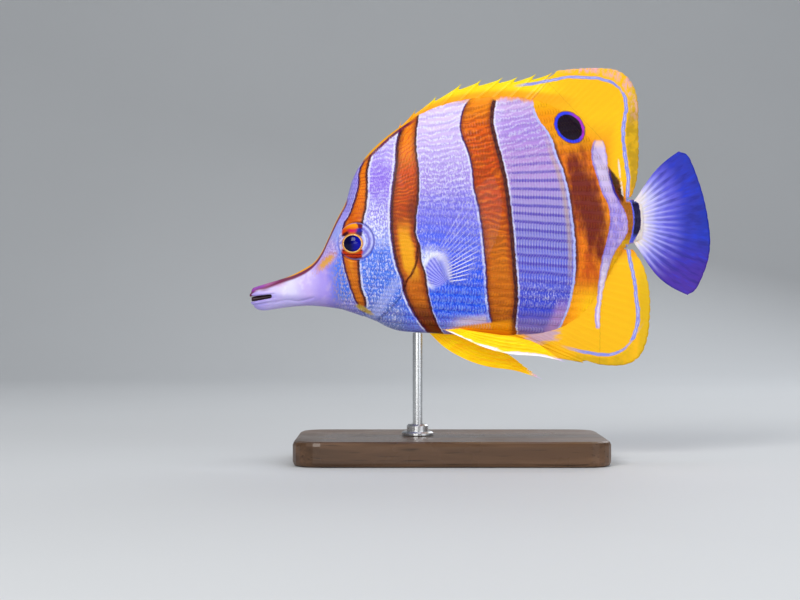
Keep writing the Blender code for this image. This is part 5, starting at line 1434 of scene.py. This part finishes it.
def spiny_fin(spines, notch, end_root, end_tip, rows=22, spine_half=0.34):
    """Centre grid, half thicknesses and ray mask of a fin of spines, notched behind each tip."""
    steps = np.array([0.0, 0.03, 0.07, 0.12, 0.18, 0.27, 0.38, 0.5, 0.62, 0.73, 0.82, 0.89, 0.94, 0.97])
    depth = np.interp(steps, [0, 0.05, 0.17, 0.55, 0.88, 1.0], [0, 0.62, 1.0, 0.75, 0.4, 0.0])
    ends = spines[1:] + [(end_root, end_tip)]
    root, tip, away = [], [], []
    for (a_root, a_tip), (b_root, b_tip) in zip(spines, ends):
        a_root, a_tip, b_root, b_tip = (np.array(p, float) for p in (a_root, a_tip, b_root, b_tip))
        back = (a_tip - a_root) / np.linalg.norm(a_tip - a_root)
        gap = np.linalg.norm((b_root + b_tip) / 2 - (a_root + a_tip) / 2)
        for step, drop in zip(steps, depth):
            root.append(a_root + (b_root - a_root) * step)
            tip.append(a_tip + (b_tip - a_tip) * step - back * notch * drop)
            away.append(min(step, 1 - step) * gap)
    root, tip, away = np.array(root), np.array(tip), np.array(away)
    centre = blend_rows(root, tip, rows)
    v = np.linspace(0, 1, rows)[None]
    ray = bump_of(away[:, None], 0.8 - 0.35 * v)
    half = 0.36 + (0.14 - 0.36) * v + spine_half * (1 - 0.55 * v) * ray
    half *= 1 - 0.8 * smoothstep(v, 0.93, 1.0)
    return centre, half, ray, np.repeat(v, len(root), axis=0)


def joined(first, second):
    """Two fin grids side by side as one."""
    return tuple(np.concatenate([a, b]) for a, b in zip(first, second))


def tail_material():
    """Tail fin: white at its root, then lavender, then blue, with pale rays that fade towards the margin."""
    material, net, shader, place = new_material("Violet tail fin")
    times, smooth, lay = net.words("times smooth lay")
    ray, reach, across = net.fin_marks()
    split = net.node("ShaderNodeSeparateXYZ", {"Vector": place})
    fan = net.node("ShaderNodeCombineXYZ", {"X": times(across, 24.0), "Y": times(reach, 3.0)})
    mottle = net.noise(fan.outputs[0], 1.0, 3.0, 0.6)
    z = net.in_mm(split, "Z")
    high = smooth(z, 78.0, 86.0)
    shade = net.stray(reach, mottle, 0.34)
    shade = net.minus(shade, times(high, 0.09))
    colour = net.ramp(shade, 0, 1, [(0.0, (0.88, 0.78, 0.72)), (0.13, (0.84, 0.77, 0.82)),
        (0.22, (0.60, 0.57, 0.92)), (0.34, (0.27, 0.26, 0.86)), (0.48, (0.11, 0.10, 0.68)), (0.72,
        (0.02, 0.03, 0.46)), (1.0, (0.002, 0.02, 0.40))])
    low = smooth(z, 74.0, 58.0)
    colour = lay(colour, (0.085, 0.02, 0.34), low, smooth(shade, 0.2, 0.6), 0.75)
    outer = smooth(reach, 0.45, 0.7)
    colour = lay(colour, (0.01, 0.04, 0.76), smooth(mottle, 0.50, 0.72), outer, 0.55)
    colour = lay(colour, (0.005, 0.005, 0.18), smooth(mottle, 0.50, 0.30), outer, 0.55)
    fade = net.both(smooth(reach, 0.06, 0.2), smooth(reach, 0.72, 0.28), smooth(mottle, 0.36, 0.56))
    colour = lay(colour, (0.66, 0.64, 1.0), ray, fade, 0.55)
    dark = net.both(smooth(ray, 0.35, 0.0), net.between(reach, 0.22, 0.80, 0.18), smooth(mottle, 0.60, 0.42))
    colour = lay(colour, (0.015, 0.015, 0.26), dark, 0.50)
    colour = lay(colour, (0.80, 0.50, 0.16), smooth(shade, 0.12, 0.0), smooth(z, 76.0, 72.0))
    net.put(colour, shader.inputs["Base Color"])
    net.put(net.bump(mottle, 0.2, 0.0001), shader.inputs["Normal"])
    shader_values(shader, Roughness=0.4, Coat_Weight=0.05, Coat_Roughness=0.2, Subsurface_Weight=0.1,
        Subsurface_Scale=0.001, Specular_IOR_Level=0.25)
    return material


def tail_bulge(u):
    """How far the tail's outer rays bow."""
    lean = 1 - 2 * u
    size = TAIL_BULGES[lean < 0] * abs(lean) ** 3
    return (-size * 0.8, size * math.copysign(0.6, lean))


class FISH_OT_median_fins(bpy.types.Operator):
    """Build the dorsal, anal and tail fins on the fish's middle plane"""

    bl_idname = "fish.median_fins"
    bl_label = "Dorsal, anal and tail fins"

    def execute(self, context):
        looks = context.scene.fish_looks
        yellow = marked_material("Yellow fin", 1.0, 0.00008)
        soft = soft_fin(SOFT_DORSAL_ROOT, SOFT_DORSAL_MARGIN, looks.dorsal_rays)
        spiny = spiny_fin(DORSAL_SPINES, DORSAL_NOTCH, soft[0][0, 0, ::2], soft[0][0, -1, ::2])
        for name, grid, nodes in (
            ("dorsal_spines", spiny, "dorsal_fin_spiny"), ("dorsal_soft_rays", soft, "dorsal_fin_soft"),
            ("anal_rays", joined(
                spiny_fin(ANAL_SPINES, ANAL_NOTCH, ANAL_ROOT[0], ANAL_MARGIN[0], rows=30),
                soft_fin(ANAL_ROOT, ANAL_MARGIN, looks.anal_rays)), "anal_fin"),
        ):
            centre, half, ray, reach = grid
            piece(sheet_mesh(name, centre, half, {"ray": ray, "reach": reach}, yellow), "yellow_fin", nodes)
        centre, half, ray, reach = soft_fin(TAIL_ROOT, TAIL_MARGIN, looks.tail_rays, per_ray=10, rows=36,
            bulge_at=tail_bulge, swell=0.5, scallop=0.10, ridge=0.05, round_off=1.4)
        across = np.repeat(np.linspace(0, 1, len(ray))[:, None], ray.shape[1], axis=1)
        piece(sheet_mesh("tail_rays", centre, half, {"ray": ray, "reach": reach, "across": across}, tail_material()),
            "violet_fin", "tail_fin")
        return {"FINISHED"}


def pectoral_grid(side, rays, per_ray=7, rows=26):
    """The side fin's grid: a fleshy lobe, then rays that fan up and back, off the body."""
    count = rays * per_ray + 1
    root, ray_root = smooth_line(PECTORAL_ROOT, count), smooth_line(PECTORAL_RAY_ROOT, count)
    tip = smooth_line(PECTORAL_MARGIN, count)
    u = np.linspace(0, 1, count)
    flank = np.abs(flesh_place(*find_place(root[:, 0], root[:, 1]), 1)[:, 1])
    lobe = np.abs(flesh_place(*find_place(ray_root[:, 0], ray_root[:, 1]), 1)[:, 1]) + 1.3
    run = tip - ray_root
    length = np.linalg.norm(run, axis=1)
    phase = (u * rays) % 1.0
    tip = tip - run / length[:, None] * (0.4 * (np.abs(phase - 0.5) * 2) ** 2)[:, None]
    bow = np.stack([-run[:, 1], run[:, 0]], axis=1) / length.max() * 2.0 * ((1 - u) ** 2)[:, None]
    blade = blend_rows(ray_root, tip, rows, bow)
    v = np.linspace(0, 1, rows)[None]
    blade[..., 1] = side * (lobe[:, None] + 5.4 * (length / length.max())[:, None] * v)
    stalk = []
    for share in np.linspace(0, 1, 7)[:-1]:
        line = root + (ray_root - root) * share
        line = line.mean(0) + (line - line.mean(0)) * (0.80 + 0.20 * math.sin(share * math.pi / 2))
        y = flank - 0.9 + (lobe - flank + 0.9) * math.sin(share * math.pi / 2)
        stalk.append(np.stack([line[:, 0], side * y, line[:, 1]], axis=-1))
    centre = np.concatenate([np.stack(stalk, axis=1), blade], axis=1)
    ray = ray_profile(phase[:, None], v, 0.55)
    thin = 0.34 + (0.07 - 0.34) * v**0.5 + 0.13 * (1 - 0.6 * v) * ray
    plump = np.linspace(0.75, 0.42, 6)[None] * np.ones((count, 1)) * (0.45 + 0.55 * np.sin(math.pi * u)[:, None])
    half = np.concatenate([plump, thin], axis=1)
    half *= (1 - 0.8 * bump_of(u, 0.012) - 0.8 * bump_of(u - 1, 0.012))[:, None]
    mask = np.concatenate([np.zeros((count, 6)), ray], axis=1)
    reach = np.concatenate([np.repeat(np.linspace(-0.24, -0.04, 6)[None], count, axis=0), v * np.ones((count, 1))],
        axis=1)
    return centre, half, {"ray": mask, "reach": reach, "across": np.repeat(u[:, None], reach.shape[1], axis=1)}


def clear_material():
    """Side fin: a pale fleshy lobe, then whitish rays in a membrane that is almost clear."""
    material, net, shader, place = new_material("Clear side fin")
    smooth, both = net.words("smooth both")
    ray, reach, across = net.fin_marks()
    cloud = net.noise(place, 300.0, 3.0, 0.6)
    colour = net.mix(smooth(reach, -0.08, 0.05), (0.36, 0.38, 0.94), (0.84, 0.82, 1.0))
    # Painted highlight: white laid over the upper part of the fin's root and over its stalk, where light falls on the
    # lobe's upper front edge
    white = both(smooth(across, 0.55, 0.15), smooth(cloud, 0.36, 0.56))
    colour = net.lay(colour, (0.92, 0.92, 1.0), net.either(white, smooth(reach, -0.10, -0.22)),
        smooth(reach, 0.1, -0.02))
    net.put(colour, shader.inputs["Base Color"])
    body = both(smooth(reach, 0.14, -0.02), smooth(reach, -0.16, -0.03), net.between(across, 0.16, 0.90, 0.14), 0.50)
    strength = net.plus(net.times(smooth(across, 0.35, 0.75), 0.72), 0.20)
    rays = both(smooth(ray, 0.35, 0.9), smooth(reach, 0.95, 0.12), strength)
    film = net.plus(net.times(cloud, 0.012), 0.006)
    net.put(net.either(body, rays, film), shader.inputs["Alpha"])
    shader_values(shader, Roughness=0.4, Specular_IOR_Level=0.25)
    return material


class FISH_OT_side_fins(bpy.types.Operator):
    """Build the clear pectoral fins and the pelvic fins"""

    bl_idname = "fish.side_fins"
    bl_label = "Pectoral and pelvic fins"

    def execute(self, context):
        looks = context.scene.fish_looks
        clear, pelvic = clear_material(), pelvic_material()
        for name, side in (("left", -1), ("right", 1)):
            centre, half, marks = pectoral_grid(side, looks.pectoral_rays)
            fin = sheet_mesh(f"pectoral_rays_{name}", centre, half, marks, clear)
            piece(fin, "clear_fin", f"pectoral_fin_{name}")
        for name, form in (("left", PELVIC_LEFT), ("right", PELVIC_RIGHT)):
            centre, half, ray, reach, u = pelvic_grid(form)
            fin = sheet_mesh(f"pelvic_rays_{name}", centre, half, {"ray": ray, "reach": reach, "across": u}, pelvic)
            piece(fin, "yellow_fin", f"pelvic_fin_{name}")
        return {"FINISHED"}


def pelvic_grid(form, rays=5, per_ray=9, rows=40):
    """A spine along the leading edge, then soft rays, notched between their tips."""
    count = rays * per_ray + 1
    lead, trail = smooth_line(form["lead"], rows), smooth_line(form["trail"], rows)
    u = np.linspace(0, 1, count)
    grid = lead[None] * (1 - u)[:, None, None] + trail[None] * u[:, None, None]
    v = np.linspace(0, 1, rows)[None]
    phase = (u * rays) % 1.0
    between = np.sin(math.pi * np.minimum(phase, 1.0)) ** 2
    run = lead[-1] - lead[-6]
    run /= np.linalg.norm(run)
    grid = grid - (1.3 * between[:, None] * smoothstep(v, 0.85, 1.0))[..., None] * run
    y = form["root_y"] + (form["tip_y"] - form["root_y"]) * np.sin(v * math.pi / 2)
    away = np.minimum(phase, 1 - phase)
    ray = bump_of(away[:, None], 0.17) * np.ones((1, rows))
    ray[: per_ray // 2] = np.maximum(ray[: per_ray // 2], bump_of(u[: per_ray // 2, None], 0.05))
    ridge = np.where(u < 0.5 / rays, 0.42, 0.26)[:, None]
    half = 0.42 + (0.13 - 0.42) * v + ridge * (1 - 0.62 * v) * ray
    half = half * (1 - 0.75 * smoothstep(v, 0.96, 1.0))
    wave = 0.3 * np.sin(v * 7.0 + u[:, None] * 5.0) * v
    centre = np.stack([grid[..., 0], form["side"] * (y + wave), grid[..., 1]], axis=-1)
    return centre, half, ray, np.repeat(v, count, axis=0), np.repeat(u[:, None], rows, axis=1)


def pelvic_material():
    """Pelvic fins: yellow with fine streaks between rays, a white leading line and violet tips, with a faint painted
    glow in their own colour against the shade under the body.
    """
    material, net, shader, place = new_material("Yellow pelvic fin")
    smooth, lay = net.words("smooth lay")
    ray, reach, across = net.fin_marks()
    streak = net.noise(net.stretched(place, (0.35, 1.0, 1.5), -0.3), 500.0, 3.0, 0.6)
    colour = net.mix(smooth(streak, 0.35, 0.75), (1.0, 0.70, 0.001), (0.99, 0.50, 0.001))
    colour = lay(colour, (0.92, 0.40, 0.001), smooth(ray, 0.4, 0.0), 0.25)
    split = net.node("ShaderNodeSeparateXYZ", {"Vector": place})
    near = smooth(split.outputs["Y"], 0.001, -0.001)
    patchy = smooth(net.noise(place, 190.0), 0.26, 0.46)
    width = net.plus(net.times(smooth(streak, 0.3, 0.7), 0.10), 0.07)
    line = net.both(smooth(across, net.plus(width, 0.08), width), near, smooth(reach, 0.02, 0.10), patchy)
    colour = lay(colour, (0.84, 0.83, 0.94), line, smooth(streak, 0.26, 0.5), 0.92)
    tips = net.both(smooth(reach, 0.90, 1.0), smooth(across, 0.45, 0.0))
    colour = lay(colour, (0.62, 0.46, 0.92), tips)
    net.put(colour, shader.inputs["Base Color"])
    # Painted light: the fins glow faintly in their own colour, to lift the shade under the body
    net.put(colour, shader.inputs["Emission Color"])
    net.put(net.bump(streak, 0.25, 0.0001), shader.inputs["Normal"])
    shader_values(shader, Roughness=0.42, Coat_Weight=0.05, Coat_Roughness=0.2, Emission_Strength=0.24,
        Specular_IOR_Level=0.2)
    return material


def wear_group():
    """Soft smudges and faint marks of handling, for the stand."""
    net, start, end = new_group("Handling marks", [("Place", "NodeSocketVector"), ("Scale", "NodeSocketFloat")],
        [("Smudge", "NodeSocketFloat"), ("Scratch", "NodeSocketFloat")])
    place = start.outputs["Place"]
    smudge = net.noise(place, 30.0, 4.0, 0.6)
    net.put(start.outputs["Scale"], smudge.node.inputs["Scale"])
    net.put(net.smooth(smudge, 0.4, 0.7), end.inputs["Smudge"])
    scratch = net.noise(net.stretched(place, (1.0, 40.0, 40.0)), 18.0, 2.0, 0.5)
    net.put(net.smooth(scratch, 0.62, 0.66), end.inputs["Scratch"])
    return net.tree


def wood_material(wear):
    """Dark polished wood with long grain and pores."""
    looks = bpy.context.scene.fish_looks
    material, net, shader, place = new_material("Dark polished wood")
    bent = net.node("ShaderNodeVectorMath", {0: net.node("ShaderNodeTexNoise",
        {"Vector": place, "Scale": 18.0}).outputs[1], 1: (0.0, 0.010, 0.010)}, operation="MULTIPLY")
    warped = net.node("ShaderNodeVectorMath", {0: place, 1: bent.outputs[0]}, operation="ADD").outputs[0]
    grain = net.noise(net.stretched(warped, (6.0, 160.0, 160.0)), 1.0, 4.0, 0.6)
    rings = net.noise(net.stretched(warped, (2.0, 46.0, 30.0)), 1.0, 2.0, 0.5)
    pores = net.smooth(net.noise(net.stretched(place, (60.0, 1500.0, 1500.0)), 1.0, 2.0, 0.5), 0.60, 0.72)
    wood = tuple(looks.wood)
    colour = net.mix(net.smooth(rings, 0.35, 0.65), tuple(0.55 * c for c in wood), tuple(1.7 * c for c in wood))
    colour = net.mix(net.both(net.smooth(grain, 0.4, 0.7), 0.5), colour, tuple(2.6 * c for c in wood))
    colour = net.lay(colour, (0.012, 0.006, 0.003), pores, 0.7)
    net.put(colour, shader.inputs["Base Color"])
    marks = net.node("ShaderNodeGroup", {"Scale": 34.0}, node_tree=wear)
    net.put(place, marks.inputs["Place"])
    net.put(net.plus(net.times(marks.outputs["Smudge"], 0.12), 0.26), shader.inputs["Roughness"])
    net.put(net.bump(net.minus(grain, net.times(pores, 0.5)), 0.25, 0.0001), shader.inputs["Normal"])
    shader_values(shader, Coat_Weight=0.12, Coat_Roughness=0.2, Specular_IOR_Level=0.25)
    return material


def steel_material(wear):
    """Brushed steel, drawn round the rod."""
    looks = bpy.context.scene.fish_looks
    material, net, shader, place = new_material("Brushed steel")
    brushed = net.noise(net.stretched(place, (300.0, 300.0, 5200.0)), 1.0, 3.0, 0.6)
    marks = net.node("ShaderNodeGroup", {"Scale": 120.0}, node_tree=wear)
    net.put(place, marks.inputs["Place"])
    steel = tuple(looks.steel)
    colour = net.mix(brushed, tuple(0.82 * c for c in steel), steel)
    net.put(colour, shader.inputs["Base Color"])
    rough = net.plus(net.times(brushed, 0.16), net.times(marks.outputs["Smudge"], 0.10))
    net.put(net.plus(rough, 0.16), shader.inputs["Roughness"])
    net.put(net.bump(brushed, 0.12, 0.00005), shader.inputs["Normal"])
    shader_values(shader, Metallic=1.0, Anisotropic=0.4)
    return material


class FISH_OT_stand(bpy.types.Operator):
    """Give the wooden base, steel rod and collar their finishes"""

    bl_idname = "fish.stand"
    bl_label = "Display stand"

    def execute(self, context):
        wear = wear_group()
        wood, steel = wood_material(wear), steel_material(wear)
        for name, material in (("stand_base", wood), ("stand_rod", steel), ("stand_collar", steel)):
            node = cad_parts[name]
            for slot in node.material_slots:
                slot.material = material
        return {"FINISHED"}


def area_light(name, place, size, watts, colour):
    """A soft square light that faces the fish, in metres."""
    data = bpy.data.lights.new(name, "AREA")
    data.size = size
    data.energy = watts
    data.color = colour
    light = bpy.data.objects.new(name, data)
    light.location = place
    light.rotation_euler = (Vector(LIGHTS_AIM) - Vector(place)).to_track_quat("-Z", "Y").to_euler()
    bpy.context.scene.collection.objects.link(light)


class FISH_OT_stage(bpy.types.Operator):
    """Set the camera, the soft lights and the plain pale floor"""

    bl_idname = "fish.stage"
    bl_label = "Stage"

    def execute(self, context):
        scene = context.scene
        looks = scene.fish_looks
        data = bpy.data.cameras.new("Camera")
        data.lens, data.sensor_width, data.clip_start = CAMERA_LENS, CAMERA_SENSOR, 0.01
        camera = bpy.data.objects.new("Camera", data)
        camera.location = CAMERA_PLACE
        camera.rotation_euler = (math.pi / 2, 0.0, 0.0)
        scene.collection.objects.link(camera)
        scene.camera = camera
        floor_material, net, shader, place = new_material("Pale floor")
        tone = net.mix(net.noise(place, 6.0, 3.0), looks.floor[:], tuple(0.94 * c for c in looks.floor))
        net.put(tone, shader.inputs["Base Color"])
        shader_values(shader, Roughness=0.7)
        profile = [(-2.4, 0.0), (0.6, 0.0)]
        profile += [(0.6 + 0.5 * math.sin(a), 0.5 - 0.5 * math.cos(a)) for a in np.linspace(0.1, math.pi / 2, 16)]
        profile += [(1.1, 3.0)]
        points = [(x * 1000, y * 1000, z * 1000) for y, z in profile for x in (-4.0, 4.0)]
        faces = [(2 * k, 2 * k + 1, 2 * k + 3, 2 * k + 2) for k in range(len(profile) - 1)]
        mesh_object("floor", points, faces, floor_material)
        for name, place, size, watts, colour in LIGHTS:
            area_light(name, place, size, watts * looks.light, colour)
        world = bpy.data.worlds.new("Studio")
        world.use_nodes = True
        background = world.node_tree.nodes["Background"].inputs
        background["Color"].default_value = (0.80, 0.84, 0.90, 1.0)
        background["Strength"].default_value = 0.23 * looks.light
        scene.world = world
        scene.view_settings.view_transform = "Standard"
        return {"FINISHED"}


def colour_property(name, description, default):
    return FloatVectorProperty(name=name, description=description, subtype="COLOR", size=3, min=0.0, max=1.0,
        default=default)


class FishLooks(bpy.types.PropertyGroup):
    """Sizes and colours of the model that a user would change"""

    orange: colour_property("Copper bands", "Colour of the bands on the flank", (0.90, 0.24, 0.002))
    yellow: colour_property("Yellow", "Colour of the rear body and the fins", (0.99, 0.56, 0.002))
    white: colour_property("White", "Outlines, beads and speckle of the pale flank", (0.86, 0.84, 1.0))
    blue: colour_property("Blue lines", "Line inside the margin of the dorsal and anal fins", (0.25, 0.29, 0.81))
    dark: colour_property("Dark borders", "Borders of the bands", (0.055, 0.006, 0.012))
    wood: colour_property("Wood", "Colour of the stand's base", (0.085, 0.045, 0.024))
    steel: colour_property("Steel", "Colour of the stand's rod and collar", (0.72, 0.73, 0.74))
    floor: colour_property("Floor", "Colour of the floor and backdrop", (0.66, 0.68, 0.70))
    light: FloatProperty(name="Light", description="Brightness of all lights", default=1.0, min=0.0)
    scale_lift: FloatProperty(name="Scale lift", description="How far a scale's rear edge stands up, in millimetres",
                              default=0.13, min=0.0)
    scale_unevenness: FloatProperty(name="Scale unevenness", description="How much scales lean at random",
                                    default=0.05, min=0.0)
    dorsal_rays: IntProperty(name="Dorsal rays", description="Soft rays of the dorsal fin", default=28, min=2)
    anal_rays: IntProperty(name="Anal rays", description="Soft rays of the anal fin", default=20, min=2)
    tail_rays: IntProperty(name="Tail rays", description="Rays of the tail fin", default=17, min=2)
    pectoral_rays: IntProperty(name="Pectoral rays", description="Rays of each side fin", default=14, min=2)


OPERATORS = (FISH_OT_skin, FISH_OT_scales, FISH_OT_eyes, FISH_OT_median_fins, FISH_OT_side_fins, FISH_OT_stand,
    FISH_OT_stage)


class FISH_PT_panel(bpy.types.Panel):
    """Lists the parts of the model"""

    bl_idname = "FISH_PT_panel"
    bl_label = "Butterflyfish"
    bl_space_type = "VIEW_3D"
    bl_region_type = "UI"
    bl_category = "Butterflyfish"

    def draw(self, context):
        for name in FishLooks.__annotations__:
            self.layout.prop(context.scene.fish_looks, name)
        for operator in OPERATORS:
            self.layout.operator(operator.bl_idname)


CLASSES = (FishLooks, *OPERATORS, FISH_PT_panel)


def register():
    for item in CLASSES:
        bpy.utils.register_class(item)
    bpy.types.Scene.fish_looks = PointerProperty(type=FishLooks)


def unregister():
    del bpy.types.Scene.fish_looks
    for item in reversed(CLASSES):
        bpy.utils.unregister_class(item)


def main():
    register()
    side_view_group()
    flank_group()
    markings_group()
    bpy.ops.fish.skin()
    bpy.ops.fish.scales()
    bpy.ops.fish.eyes()
    bpy.ops.fish.median_fins()
    bpy.ops.fish.side_fins()
    bpy.ops.fish.stand()
    bpy.ops.fish.stage()


if __name__ == "__main__":
    main()
